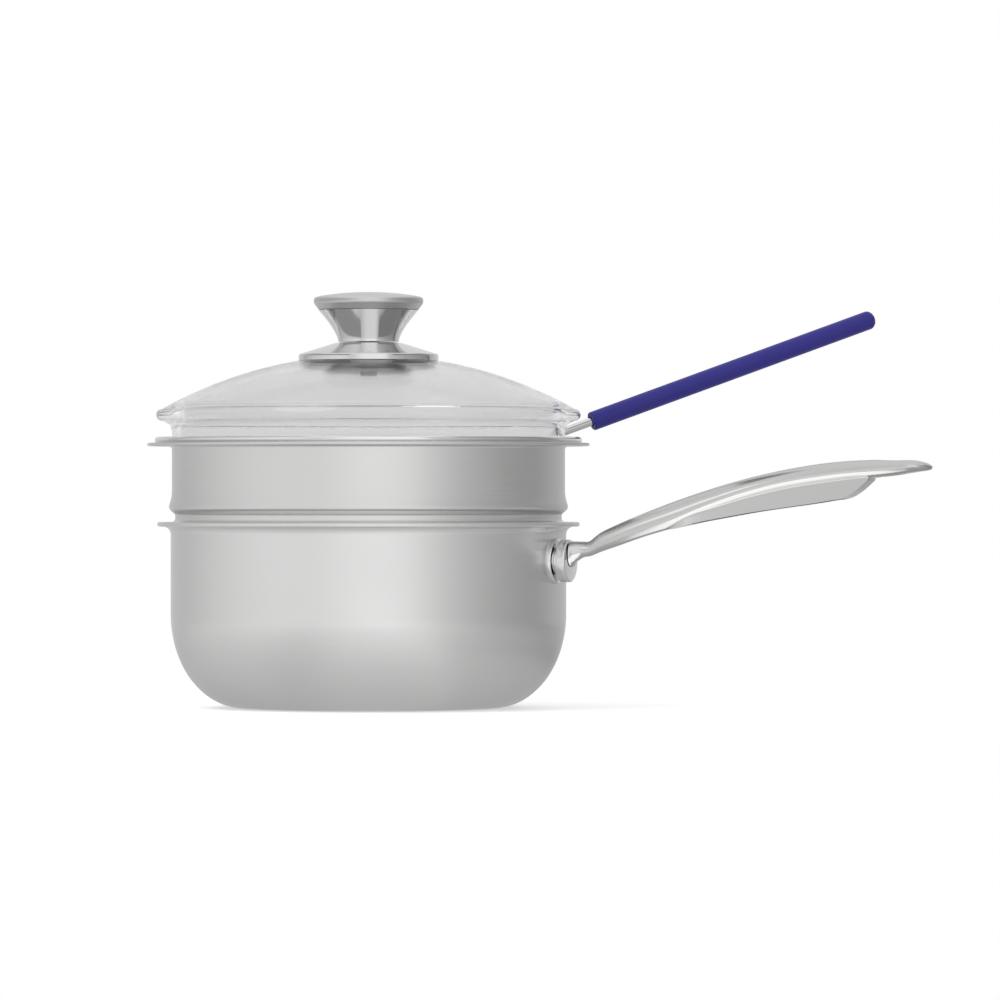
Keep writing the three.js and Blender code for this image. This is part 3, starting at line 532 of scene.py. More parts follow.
def addCards():
    low = circle(studio["cardRadius"], studio["cardLow"])
    high = circle(studio["cardRadius"], studio["cardHigh"])
    table = circle(studio["floorRadius"], 0)
    count = len(low)
    sides = [(k, (k + 1) % count, count + (k + 1) % count, count + k) for k in range(count)]
    disc = [tuple(range(count))]
    addCard("wrapCard", low + high, sides, cardMaterial("wrapCard"))
    # the table card is darker near the pan: painted shadow of the pan, seen only in reflections
    addCard("tableCard", table, disc, cardMaterial("tableCard", studio["table"]))
    addCard("ceilingCard", high, disc, plainCard("ceilingCard", studio["ceiling"]))
    foot, head, reach = studio["flags"]
    for name in ("leftFlag", "rightFlag"):  # dark flags beside the knob
        start, end, grey = studio[name]
        turns = [math.radians(d) for d in np.linspace(start, end, studio["flagPoints"])]
        verts = [(reach * math.sin(t), -reach * math.cos(t), z) for t in turns for z in (foot, head)]
        faces = [(i, i + 1, i + 3, i + 2) for i in range(0, len(verts) - 2, 2)]
        addCard(name, verts, faces, plainCard(name, grey))


def addFloor():
    material, nodes, shader = newMaterial("studioFloor")
    tint, radius = studio["floorTint"], studio["floorRadius"]
    setInputs(shader, {
        "Base Color": (tint, tint, tint, 1), "Roughness": studio["floorRoughness"],
        "Specular IOR Level": studio["floorGloss"]})
    seen = eitherRay(nodes, "Is Camera Ray", "Is Glossy Ray")
    glow = nodes.new("ShaderNodeEmission")
    plug(mathNode(nodes, "MULTIPLY", seen, studio["floorGlow"]), glow.inputs["Strength"])
    both = nodes.new("ShaderNodeAddShader")
    plug(shader.outputs[0], both.inputs[0])
    plug(glow.outputs[0], both.inputs[1])
    fade = nodes.new("ShaderNodeMapRange")  # the floor fades into the white surround
    fade.interpolation_type = "SMOOTHSTEP"
    setInputs(fade, {"From Min": radius * studio["floorFade"], "From Max": radius})
    plug(fromCentre(nodes, objectPlace(nodes)), fade.inputs["Value"])
    clear = nodes.new("ShaderNodeBsdfTransparent")
    blend = nodes.new("ShaderNodeMixShader")
    plug(fade.outputs["Result"], blend.inputs[0])
    plug(both.outputs[0], blend.inputs[1])
    plug(clear.outputs[0], blend.inputs[2])
    plug(blend.outputs[0], nodes["Material Output"].inputs[0])
    verts = circle(radius, -studio["floorDrop"], studio["floorSides"])
    floor = newPiece("studioFloor", verts, [tuple(range(len(verts)))])
    floor.data.materials.append(material)


def addLamp():
    data = bpy.data.lights.new("softLamp", "AREA")
    data.shape = "DISK"
    data.size = studio["lampSize"]
    data.energy = studio["lampPower"]
    lamp = bpy.data.objects.new("softLamp", data)
    lamp.location = studio["lampAt"]
    aim = Vector(studio["lampAim"]) - lamp.location
    lamp.rotation_euler = aim.to_track_quat("-Z", "Y").to_euler()
    lamp.visible_glossy = False
    scene.collection.objects.link(lamp)


addCamera()
addWorld()
addCards()
addFloor()
addLamp()
print("camera and studio ready")


# saucepan body

pan = {
    "wall": 1.2, "floor": 2.4, "cornerRun": 36, "cornerRise": 48, "flare": 5.7,
    "lipThick": 2.4, "lipRound": 4, "lipSweep": 86, "baseRings": 6, "segments": 288,
}
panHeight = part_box("pan_body")[1].z / mm
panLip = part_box("pan_body")[1].x / mm
panOuter = panLip - pan["lipThick"] / 2 - pan["flare"]
panInner = panOuter - pan["wall"]
flareCentre = (panOuter + pan["flare"], panHeight - pan["wall"] - pan["flare"])


def makePan():
    run, rise = pan["cornerRun"], pan["cornerRise"]
    wall, floor = pan["wall"], pan["floor"]
    thick, bow, sweep = pan["lipThick"], pan["lipRound"], pan["lipSweep"]
    base, rings = panOuter - run, pan["baseRings"]
    outer = arc((base, rise), run, -90, 0, steps=40, upright=rise)
    inner = arc((base, rise), run - wall, 0, -90, steps=40, upright=rise - floor)
    underLip = arc((panOuter + bow, panHeight - thick - bow), bow, 180, 90, steps=14)
    lip = arc((flareCentre[0], panHeight - thick / 2), thick / 2, -sweep, sweep, steps=14)
    flareIn = arc(flareCentre, pan["flare"] + wall, 90, 180, steps=16)
    floorRings = [(base * k / rings, 0) for k in range(1, rings)]
    outline = [(0, 0)] + floorRings + outer + underLip + lip + flareIn + inner + [(0, floor)]
    fitted(turned("panBody", outline, pan["segments"]), "pan", "pan_body", wallSteel)


# pan handle: pad, boss and grip

boss = {
    "radius": 10.8, "edge": 0.8, "edgeSweep": 80, "crown": 0.6, "crownRun": 0.4, "gap": 0.3, "segments": 96,
    "groove": (1.3, 4), "grooveRound": 0.3, "back": 1, "backRing": 0.6,
    "padRadius": 11.5, "padThickness": 1.6, "padEdge": 0.5, "padSeat": 0.28, "padMiddle": 0.01,
    "padEdgeMid": (0.985, 0.12),  # share of the radius, and drop, halfway round the pad's edge
}
bossZ = (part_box("handle_boss")[0].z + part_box("handle_boss")[1].z) / 2 / mm
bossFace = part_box("handle_boss")[1].x / mm - boss["crown"]
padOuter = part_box("handle_pad")[1].x / mm


def onWall(y, z, radius):  # a point lifted to a radius about the pan's axis
    return (math.sqrt(max(radius * radius - y * y, 0)) * mm, y * mm, z * mm)


def makePad():
    tall, edge, seat = boss["padThickness"], boss["padEdge"], boss["padSeat"]
    midShare, midDrop = boss["padEdgeMid"]
    profile = [
        (0, tall), (0.5, tall), (1 - edge / boss["padRadius"], tall), (midShare, tall - midDrop),
        (1, tall - edge), (1, 0), (0.5, 0), (0, 0)]  # share of the radius, and lift
    wall = padOuter - tall - seat
    rings = []
    for share, lift in profile:
        reach = max(share, boss["padMiddle"]) * boss["padRadius"]
        radius = wall + lift + (seat if lift else 0)
        turns = around(boss["segments"])
        rings.append([onWall(reach * math.cos(t), bossZ + reach * math.sin(t), radius) for t in turns])
    fitted(lofted("handlePad", rings[::-1]), "pan", "handle_pad", mirrorSteel)


def makeBoss():
    e, r, soft = boss["edge"], boss["radius"], boss["grooveRound"]
    wide, deep = boss["groove"]
    back = padOuter + boss["gap"]
    foot, lip, top = back - boss["back"], back + wide, bossFace + boss["crown"]
    outline = [(0, foot), (r * boss["backRing"], foot), (r - deep, foot), (r - deep, lip)]
    outline += bend((r - soft, lip), (r, lip), (r, lip + soft), steps=4)
    outline += arc((r - e, bossFace - e), e, 0, boss["edgeSweep"], steps=8)
    outline += bend((r - e, bossFace), (r * boss["crownRun"], top), (0, top), steps=8)
    place = Matrix.Translation((0, 0, bossZ * mm)) @ Matrix.Rotation(math.pi / 2, 4, "Y")
    piece = turned("handleBoss", outline, boss["segments"], place)
    fitted(piece, "pan", "handle_boss", mirrorSteel)


grip = {
    "length": 189, "neck": 5.4, "rise": 42.2, "thick": 12.9, "half": 11.6, "keelDepth": 14, "keelHalf": 7,
    "keelWall": 1.8, "crown": 3.4, "square": 2.5, "nose": 11, "bow": 22, "bowStart": 0.003, "fillet": 0.35,
    "filletShares": (0.8, 0.7),  # most of the shoulder's width and depth that the fillet takes
    "keelMost": 0.96, "thinnest": (0.12, 0.1),  # keel against grip, and least half widths of grip and hollow
    "slotLength": 16, "slotWidth": 8, "slotToTip": 13, "slotTool": (20, 80), "crispAngle": 40,
    "riseLine": (
        (0, -0.049), (0.008, -0.021), (0.017, -0.006), (0.03, 0.01), (0.048, 0.019), (0.076, 0.088),
        (0.124, 0.176), (0.2, 0.302), (0.28, 0.421), (0.38, 0.58), (0.56, 0.806), (0.76, 0.946), (0.9, 0.986),
        (0.97, 1), (1, 0.988)),
    "thickLine": (
        (0, 1.01), (0.008, 0.84), (0.017, 0.735), (0.03, 0.63), (0.048, 0.595), (0.076, 0.735), (0.124, 0.84),
        (0.2, 0.911), (0.28, 1), (0.38, 0.923), (0.56, 0.816), (0.76, 0.769), (0.9, 0.601), (0.97, 0.39),
        (0.99, 0.25), (1, 0.11)),
    "halfLine": (
        (0, 0.6), (0.008, 0.51), (0.017, 0.44), (0.03, 0.38), (0.048, 0.36), (0.076, 0.4), (0.124, 0.46),
        (0.2, 0.535), (0.32, 0.66), (0.48, 0.9), (0.63, 1), (0.82, 1), (0.92, 0.89), (1, 0.82)),
    "keelLine": (
        (0.265, 0.456), (0.328, 0.574), (0.466, 0.828), (0.73, 1), (0.772, 0.956), (0.8, 0.76),
        (0.836, 0.377)),
    "runs": ((-0.25, 29), (10, 110), (140, 60)),  # where each stretch starts, and its stations
    "noseStations": 26, "hollowStep": 0.05,
    "crownPoints": 20, "underPoints": 15, "facePoints": 4, "edgePoints": 4, "wallPoints": 7, "roofPoints": 6,
}
gripStart = bossFace + boss["crown"] + boss["gap"]
keelFirst, keelLast = grip["keelLine"][0][0], grip["keelLine"][-1][0]
hollowEnds = (
    grip["keelLine"][1][0] * grip["length"], grip["keelLine"][4][0] * grip["length"] - grip["keelWall"])


def smoothLine(points, x):  # a curve through the points, read at x
    xs, ys = zip(*points)
    slopes = np.gradient(ys, xs)
    i = min(max(int(np.searchsorted(xs, x)) - 1, 0), len(xs) - 2)
    h = xs[i + 1] - xs[i]
    t = min(max((x - xs[i]) / h, 0), 1)
    return ((2 * t ** 3 - 3 * t ** 2 + 1) * ys[i] + (t ** 3 - 2 * t ** 2 + t) * h * slopes[i]
            + (3 * t ** 2 - 2 * t ** 3) * ys[i + 1] + (t ** 3 - t ** 2) * h * slopes[i + 1])


def gripHalf(share):  # the plan ends in a round nose
    left = (1 - share) * grip["length"] / grip["nose"]
    full = grip["half"] * smoothLine(grip["halfLine"], share)
    return full * math.sqrt(max(1 - (1 - left) ** 2, 0)) if left < 1 else full


def keelHalfAt(x, half):  # the keel's front is a bow
    t = math.sqrt(min(max((x - keelFirst * grip["length"]) / grip["bow"], grip["bowStart"]), 1))
    return min(grip["keelHalf"] * (2 * t - t * t), half * grip["keelMost"])


def gripSection(x):  # one half from the crown's middle to the middle below, then its mirror image
    share, n = x / grip["length"], grip["square"]
    leastHalf, leastInner = grip["thinnest"]
    half = max(gripHalf(share), leastHalf)
    centre = grip["neck"] + grip["rise"] * smoothLine(grip["riseLine"], share)
    tall = grip["thick"] * smoothLine(grip["thickLine"], share) / 2
    keelHalf, keelZ = keelHalfAt(x, half), math.inf
    if keelFirst < share < keelLast:
        keelZ = centre - grip["keelDepth"] * smoothLine(grip["keelLine"], share)

    def under(y):  # the grip's own underside
        return centre - tall * (1 - min(abs(y) / half, 1) ** n) ** (1 / n)

    def lowest(y):  # the underside or the keel's foot
        return min(under(y), keelZ)

    def rim(t, way):  # a point on the upper or lower edge
        return (half * math.cos(t) ** (2 / n), centre + way * tall * math.sin(t) ** (2 / n))

    side = [rim(t, 1) for t in np.linspace(math.pi / 2, 0, grip["crownPoints"])]
    shoulder, foot = under(keelHalf), lowest(keelHalf)
    acrossShare, downShare = grip["filletShares"]
    reach = min(grip["fillet"], (half - keelHalf) * acrossShare, (shoulder - foot) * downShare)
    atKeel = math.acos(((keelHalf + reach) / half) ** (n / 2))
    side += [rim(t, -1) for t in np.linspace(0, atKeel, grip["underPoints"])[1:]]  # in to the keel
    side += bend(side[-1], (keelHalf, shoulder), (keelHalf, shoulder - reach), steps=6)[1:]
    for t in np.linspace(0, 1, grip["facePoints"])[1:]:  # keel face
        side.append((keelHalf, shoulder - reach + (foot - shoulder + reach) * t))
    inner = max(keelHalf - grip["keelWall"], leastInner)
    for y in np.linspace(keelHalf, inner, grip["edgePoints"])[1:]:  # keel edge
        side.append((y, lowest(y)))
    hollow = hollowEnds[0] < x < hollowEnds[1]
    roof = centre + tall - grip["crown"] - grip["keelWall"]
    sill = lowest(inner)
    for t in np.linspace(0, 1, grip["wallPoints"])[1:]:  # hollow wall
        side.append((inner, sill + (roof - sill) * t if hollow else sill))
    for y in np.linspace(inner, 0, grip["roofPoints"])[1:]:  # hollow roof or keel underside
        side.append((y, roof if hollow else lowest(y)))
    other = [(-y, z) for y, z in side[-2:0:-1]]
    return [((gripStart + x) * mm, y * mm, (bossZ + z) * mm) for y, z in side[::-1] + other[::-1]]


def gripStations():
    length, nose = grip["length"], grip["nose"]
    starts = [start for start, count in grip["runs"]] + [length - nose]
    stations = [starts[0]]
    for (start, count), end in zip(grip["runs"], starts[1:]):
        stations += list(np.linspace(start, end, count)[1:])
    turns = np.linspace(0, math.pi / 2, grip["noseStations"])[1:]
    stations += [length - nose * (1 - math.sin(t)) for t in turns]
    stations += [end + step for end in hollowEnds for step in (-grip["hollowStep"], grip["hollowStep"])]
    return sorted(stations)


def makeGrip():
    piece = lofted("panHandle", [gripSection(x) for x in gripStations()], grip["crispAngle"])
    end = grip["length"] - grip["slotToTip"]
    r = grip["slotWidth"] / 2
    plan = arc((end - r, 0), r, -90, 90, steps=16)
    plan += arc((end - grip["slotLength"] + r, 0), r, 90, 270, steps=16)
    rings = [[((gripStart + x) * mm, y * mm, (bossZ + z) * mm) for x, y in plan] for z in grip["slotTool"]]
    return fitted(drilled(piece, lofted("slotTool", rings)), "pan", "handle", gripSteel)


def addStrips(piece):  # strip lamps well off the handle, which light no other piece
    only = bpy.data.collections.new("stripLit")
    only.objects.link(piece)
    for name, glow, span, rows in studio["strips"]:
        verts = []
        for share in np.linspace(*span, studio["stripPoints"]):
            z = bossZ + grip["neck"] + grip["rise"] * smoothLine(grip["riseLine"], min(share, 1))
            middle = Vector(((gripStart + share * grip["length"]) * mm, 0, z * mm))
            verts += [middle + Vector(reach) for reach in rows]
        wide = len(rows)
        faces = [(i, i + 1, i + wide + 1, i + wide) for i in range(len(verts) - wide) if i % wide < wide - 1]
        strip = addCard(name, verts, faces, plainCard(name, glow, clear=True))
        strip.rotation_euler = (0, 0, 0)
        strip.light_linking.receiver_collection = only


makePan()
makePad()
makeBoss()
addStrips(makeGrip())
print("saucepan ready")


# steamer insert

steamer = {
    "sheet": 0.8, "inset": 0.6, "drop": 18, "rise": 41, "gap": 0.3, "segments": 256,
    "flangeRise": 1.2, "hem": (2.4, 0.8), "hemSweep": (84, -88), "hemRound": 0.3, "rootRound": 1.6,
    "bead": 1.9, "beadTopRise": 15, "beadTopRound": 4, "crestRise": 8.7, "crestRound": 2,
    "neckTopRise": 5.7, "neckFootRise": 2.8, "neckRounds": (0.9, 0.8), "neckPlay": 1.1,
    "land": 0.7, "landRound": 0.3, "skirtDrop": 2.8, "skirtPlay": 1.6, "skirtRound": 1,
    "floorRound": 6, "floorRings": (70, 35, 0),
    "holeRadius": 3.5, "holePitch": 24, "holeRings": 3, "holeSides": 28, "drillEnds": (-2, 3),
}
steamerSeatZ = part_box("steamer_body")[0].z / mm + steamer["drop"]
steamerSeatR = flareCentre[0] - (pan["flare"] + pan["wall"] + steamer["gap"]) * math.sqrt(0.5)
steamerWall = panOuter - steamer["inset"]
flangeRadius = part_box("steamer_body")[1].x / mm


def drillTool(floorZ):  # one cylinder for each hole in the floor
    s, sides = steamer, steamer["holeSides"]
    centres = []
    for ring in range(s["holeRings"] + 1):
        reach = ring * s["holePitch"]
        centres += [(reach * math.cos(t), reach * math.sin(t)) for t in around(max(1, 6 * ring))]
    verts, faces = [], []
    for x, y in centres:
        low = len(verts)
        high = low + sides
        for rise in s["drillEnds"]:
            for t in around(sides):
                edgeX, edgeY = x + s["holeRadius"] * math.cos(t), y + s["holeRadius"] * math.sin(t)
                verts.append((edgeX * mm, edgeY * mm, (floorZ + rise) * mm))
        for k in range(sides):
            n = (k + 1) % sides
            faces.append((low + k, low + n, high + n, high + k))
        faces.append(tuple(low + k for k in reversed(range(sides))))
        faces.append(tuple(high + k for k in range(sides)))
    return newPiece("holeTool", verts, faces)


def makeSteamer():
    s, z0 = steamer, steamerSeatZ
    under = z0 + s["rise"] - s["sheet"]
    neck, skirt = panInner - s["neckPlay"], panInner - s["skirtPlay"]
    neckTopRound, neckFootRound = s["neckRounds"]
    floorZ = z0 - s["drop"]
    hemWide, hemDrop = s["hem"]
    hemR, hemLow = flangeRadius - hemWide, under + s["flangeRise"] - hemDrop
    hemZ = under + s["flangeRise"] * (hemR - steamerWall) / (flangeRadius - steamerWall)
    edge = (s["sheet"] + hemDrop) / 2
    foldAt = (flangeRadius - edge, under + s["flangeRise"] + s["sheet"] - edge)
    fold = arc(foldAt, edge, *s["hemSweep"], steps=14)
    fold += [(hemR + s["hemRound"], hemLow), (hemR, hemLow + s["hemRound"])]
    corners = [
        (hemR, hemZ, 0), (steamerWall, under, s["rootRound"]),
        (steamerWall, z0 + s["beadTopRise"], s["beadTopRound"]),
        (steamerWall + s["bead"], z0 + s["crestRise"], s["crestRound"]),
        (neck, z0 + s["neckTopRise"], neckTopRound), (neck, z0 + s["neckFootRise"], neckFootRound),
        (steamerSeatR, z0 + s["land"], s["landRound"]), (steamerSeatR, z0, s["landRound"]),
        (skirt, z0 - s["skirtDrop"], s["skirtRound"]), (skirt, floorZ, s["floorRound"])]
    corners += [(r, floorZ, 0) for r in s["floorRings"]]
    body = turned("steamerBody", sheet(softened(corners), s["sheet"]) + fold, s["segments"])
    fitted(drilled(body, drillTool(floorZ)), "steamer", "steamer_body", steamerSteel)


makeSteamer()
print("steamer ready")


# frying basket

basket = {
    "sheet": 0.8, "play": 2.4, "bead": 1.65, "beadRise": 2.3, "beadStart": 0.9, "beadSweep": (148, -168),
    "brimRise": 2.6, "brimRound": 0.7, "stepPlay": 0.9, "stepRound": 0.5, "ledgeRound": 0.9, "skirtDepth": 9,
    "rimSegments": 256, "taper": 4, "wire": 0.42, "pitch": 3.3, "samples": 3, "lap": 6.5, "meshInset": 0.6,
    "hoopWire": 1.5, "hoopPoints": 20, "hoopSegments": 224,
}
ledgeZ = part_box("basket_rim")[0].z / mm + basket["skirtDepth"]
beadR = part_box("basket_rim")[1].x / mm - basket["bead"]
basketSkirt = steamerWall - steamer["sheet"] - basket["play"]
basketStep = steamerWall + basket["stepPlay"]
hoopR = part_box("basket_hoop")[1].x / mm - basket["hoopWire"]
hoopZ = (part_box("basket_hoop")[0].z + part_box("basket_hoop")[1].z) / 2 / mm
wallTopR = hoopR + basket["taper"]


def makeRim():
    b, t = basket, basket["sheet"]
    brimZ = ledgeZ + b["brimRise"]
    under = softened([
        (beadR - b["bead"] * b["beadStart"], brimZ, 0), (basketStep + t, brimZ, b["brimRound"]),
        (basketStep, ledgeZ, b["stepRound"]), (basketSkirt, ledgeZ, b["ledgeRound"]),
        (basketSkirt, ledgeZ - b["skirtDepth"], 0)])
    bead = arc((beadR, ledgeZ + b["beadRise"]), b["bead"], *b["beadSweep"], steps=30)
    piece = turned("basketRim", sheet(under, t) + bead, b["rimSegments"])
    fitted(piece, "basket", "basket_rim", mirrorSteel)


def makeWall():  # plain weave on a slightly tapered band
    b = basket
    top, low = ledgeZ - b["skirtDepth"] + b["lap"], hoopZ + b["meshInset"]
    count = 2 * round(math.pi * wallTopR / b["pitch"])
    rows = int((top - low) / b["pitch"])

    def radius(z):
        return hoopR + (wallTopR - hoopR) * (z - hoopZ) / (top - hoopZ)

    wires = []
    for i, t in enumerate(around(count)):  # upright wires
        line = []
        for s in np.linspace(0, rows, rows * b["samples"] + 1):
            z = low + (top - low) * s / rows
            line.append(onTurn(radius(z) + b["wire"] * math.cos(math.pi * (s + i)), t, z))
        wires.append((line, False))
    for j in range(1, rows):  # wires round the wall
        z = low + (top - low) * j / rows
        line = []
        for u in np.linspace(0, count, count * b["samples"], endpoint=False):
            t = 2 * math.pi * u / count
            line.append(onTurn(radius(z) - b["wire"] * math.cos(math.pi * (u + j)), t, z))
        wires.append((line, True))
    fitted(wireMesh("basketWall", wires, b["wire"] * mm), "basket", "basket_wall", wireSteel)


def makeHoop():
    count = basket["hoopPoints"]
    wire = arc((hoopR, hoopZ), basket["hoopWire"], 0, 360 - 360 / count, count - 1)
    piece = turned("basketHoop", wire, basket["hoopSegments"])
    fitted(piece, "basket", "basket_hoop", mirrorSteel)


def makeMeshFloor():
    b = basket
    reach = hoopR - b["meshInset"]
    half = int(reach / b["pitch"])
    wires = []
    for k in range(-half, half + 1):
        side = k * b["pitch"]
        run = math.sqrt(reach * reach - side * side)
        steps = max(int(2 * run / b["pitch"] * b["samples"]), 2)
        for crossing, flip in ((False, 1), (True, -1)):
            line = []
            for u in np.linspace(-run, run, steps):
                z = hoopZ + flip * b["wire"] * math.cos(math.pi * (u / b["pitch"] + k))
                x, y = (side, u) if crossing else (u, side)
                line.append((x * mm, y * mm, z * mm))
            wires.append((line, False))
    fitted(wireMesh("basketFloor", wires, b["wire"] * mm), "basket", "basket_floor", wireSteel)


rod = {
    "azimuth": 39.5, "radius": 2.25, "bend": 3.4, "slope": 19.1, "length": 170,
    "footRise": 0.3, "footFlare": 1.12, "sides": 40,
    "sleeveStart": 16.5, "sleeveLength": 168, "sleeveRadius": 4.9, "sleeveRings": (0.35, 0.7),
    "sleeveSegments": 72, "edge": 0.9, "bore": 2.55, "boreRound": 0.6, "endGap": 0.3, "noseShare": 0.8,
}
rodFootR = (basketStep + basket["sheet"] + beadR - basket["bead"]) / 2
rodFootZ = ledgeZ + basket["brimRise"] + basket["sheet"]
rodTurn = Matrix.Rotation(math.radians(rod["azimuth"]), 4, "Z")
rodRise = math.radians(rod["slope"])
bendCentre = (rodFootR + rod["bend"], rodFootZ + rod["footRise"])
rodBend = arc(bendCentre, rod["bend"], 180, 90 + rod["slope"], steps=16)


def alongRod(distance):  # a point on the straight stretch, this far from the bend
    r, z = rodBend[-1]
    return (r + distance * math.cos(rodRise), z + distance * math.sin(rodRise))


def makeRod():
    far = alongRod(rod["length"])
    middle = tuple((p + q) / 2 for p, q in zip(rodBend[-1], far))
    path = [(rodFootR, rodFootZ)] + rodBend + [middle, far]
    slopes = [math.pi / 2] + list(np.linspace(math.pi / 2, rodRise, len(rodBend))) + [rodRise] * 2
    rings = []
    for i, ((r, z), slope) in enumerate(zip(path, slopes)):
        wide = rod["radius"] * (rod["footFlare"] if i == 0 else 1)
        ring = []
        for t in around(rod["sides"]):
            across, up = wide * math.cos(t), wide * math.sin(t)
            out, high = r - up * math.sin(slope), z + up * math.cos(slope)
            ring.append(rodTurn @ Vector((out * mm, across * mm, high * mm)))
        rings.append(ring)
    fitted(lofted("basketRod", rings), "basket", "basket_rod", mirrorSteel)


def makeSleeve():
    r, e, n, bore = rod["sleeveRadius"], rod["edge"], rod["sleeveLength"], rod["bore"]
    depth = rod["length"] - rod["sleeveStart"] + rod["endGap"]
    soft, nose = e * rod["boreRound"], r * rod["noseShare"]
    outline = [(0, depth), (bore, depth), (bore, soft)]
    outline += bend((bore, soft), (bore, 0), (bore + soft, 0), steps=4)[1:]
    outline += bend((r - e, 0), (r, 0), (r, e), steps=6)
    outline += [(r, n * share) for share in rod["sleeveRings"]]
    outline += arc((0, n - nose), r, 0, 90, steps=18, upright=nose)[:-1] + [(0, n)]
    startR, startZ = alongRod(rod["sleeveStart"])
    start = Vector((startR, 0, startZ))
    place = rodTurn @ Matrix.Translation(start * mm) @ Matrix.Rotation(math.pi / 2 - rodRise, 4, "Y")
    piece = turned("basketSleeve", outline, rod["sleeveSegments"], place)
    fitted(piece, "basket", "basket_sleeve", sleeveBlue)


makeRim()
makeWall()
makeHoop()
makeMeshFloor()
makeRod()
makeSleeve()
print("basket ready")


# glass lid

lid = {
    "glass": 4.5, "dome": 215, "hole": 3.2, "edge": 3.1, "edgeSweep": (62, -88), "play": 1.5, "segments": 256,
    "collarWall": 4, "collarHeight": 9.6, "draft": 1.1,
    "shoulderRound": 2.5, "collarRound": 1.5, "footRound": 1,
    "innerFoot": (1.6, 0.5), "innerRound": 6.4, "innerRun": 16,  # the collar's inner face, under the dome
    "gap": 0.3, "seal": 1.2, "sealClose": 0.3, "innerSeal": 19,
    "washer": 22, "washerThick": 1.2, "washerEdge": 0.5, "ringSegments": 96,
}
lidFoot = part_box("lid_glass")[0].z / mm
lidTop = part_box("lid_glass")[1].z / mm + lid["dome"] - math.sqrt(lid["dome"] ** 2 - lid["hole"] ** 2)
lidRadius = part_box("lid_glass")[1].x / mm


def domeZ(r, drop=0):
    return lidTop + math.sqrt((lid["dome"] - drop) ** 2 - r * r) - lid["dome"]


def domeLine(fromR, toR, drop, lift, steps=8):
    return [(r, domeZ(r, drop) + lift) for r in np.linspace(fromR, toR, steps + 1)]


def makeGlass():
    g, glass = lid, lid["glass"]
    collar = basketStep - g["play"]
    inner = collar - g["collarWall"]
    domeFoot = inner - g["innerRun"]
    shoulder = lidFoot + g["collarHeight"]
    edgeR = lidRadius - g["edge"]
    edgeZ = domeZ(edgeR) - g["edge"]
    innerRise, innerFootRound = g["innerFoot"]
    under = softened([
        (edgeR, edgeZ - g["edge"], 0), (collar + g["draft"] + glass / 4, shoulder, g["shoulderRound"]),
        (collar + g["draft"], shoulder - glass / 4, g["collarRound"]), (collar, lidFoot, g["footRound"]),
        (inner, lidFoot, g["footRound"]), (inner, lidFoot + innerRise, innerFootRound),
        (inner, domeZ(inner, glass), g["innerRound"]), (domeFoot, domeZ(domeFoot, glass), 0)], steps=10)
    outline = domeLine(g["hole"], edgeR, 0, 0, steps=40)
    outline += arc((edgeR, edgeZ), g["edge"], *g["edgeSweep"], steps=22)
    outline += under + domeLine(domeFoot, g["hole"], glass, 0, steps=40)[1:]
    fitted(turned("lidGlass", outline, g["segments"]), "lid", "lid_glass", lidGlassLook)


# knob and its fixings

knob = {
    "segments": 160, "fixingSegments": 64, "neck": 15.6, "height": 16, "mouth": 25.6, "wall": 1.4, "web": 2.2,
    "flareStart": 0.05, "flareBend": (1.5, 0.4),  # shares of the height, but the pull outwards in mm
    "footGap": 0.03, "footRound": 0.2, "webRun": 1, "webRound": 0.4,
    "baseRadius": 35.8, "baseEdge": 3.2, "baseRise": 6.6, "baseLip": 2.6, "baseGap": 0.05,
    "baseTop": (1, 0.35), "baseRounds": (0.2, 0.3, 0.9, 2),  # lip's root, lip's foot, edge and top
    "capHeight": 9, "capEdge": 3.9, "capRadius": 28.2, "spigot": 1.6,
    "capRim": ((0.1, -0.4, 1), (0.3, 2.2, 1.6)),  # inset, rise from the edge, and round
    "capCrown": ((24.2, 1.9, 5), (13, 0.45, 8)),  # radius, drop from the top, and round
    "insert": 6, "insertHeight": 10, "insertRounds": (0.4, 0.5), "boreStart": 4,
    "screw": 2.5, "engage": 8, "screwTip": (0.6, 0.8), "head": 5, "headHeight": 2.8, "headRound": 0.6,
    "headEdge": (0.9, 1.2), "seatRound": 0.2, "socket": (1.6, 1.9, 1.2), "socketRound": 0.3,
}
knobFoot = lidTop + knob["baseRise"] + lid["gap"]
knobMouth = knobFoot + knob["height"]
webTop = knobFoot + knob["web"]


def fixing(name, outline, node, material, segments):  # a turned piece of the lid
    fitted(turned(name, outline, segments), "lid", node, material)


def makeSeals():
    g, hole, glass, gap = lid, lid["hole"], lid["glass"], lid["gap"]
    outerR = knob["baseRadius"] - 2 * knob["baseLip"]
    close, thick = gap * g["sealClose"], gap + g["seal"]
    ring = domeLine(hole, outerR, 0, close) + domeLine(outerR, hole, 0, thick)
    fixing("lidSealOuter", ring, "lid_seal_outer", sealGrey, g["ringSegments"])
    ring = domeLine(hole, g["innerSeal"], glass, -close) + domeLine(g["innerSeal"], hole, glass, -thick)
    fixing("lidSealInner", ring, "lid_seal_inner", sealGrey, g["ringSegments"])
    top, foot = -thick - gap, -thick - gap - g["washerThick"]
    flat = g["washer"] - g["washerEdge"]
    ring = domeLine(hole, flat, glass, top)
    ring += [(g["washer"], domeZ(g["washer"], glass) + (top + foot) / 2)]
    ring += domeLine(flat, hole, glass, foot)
    fixing("knobWasher", ring, "knob_washer", satinSteel, g["ringSegments"])


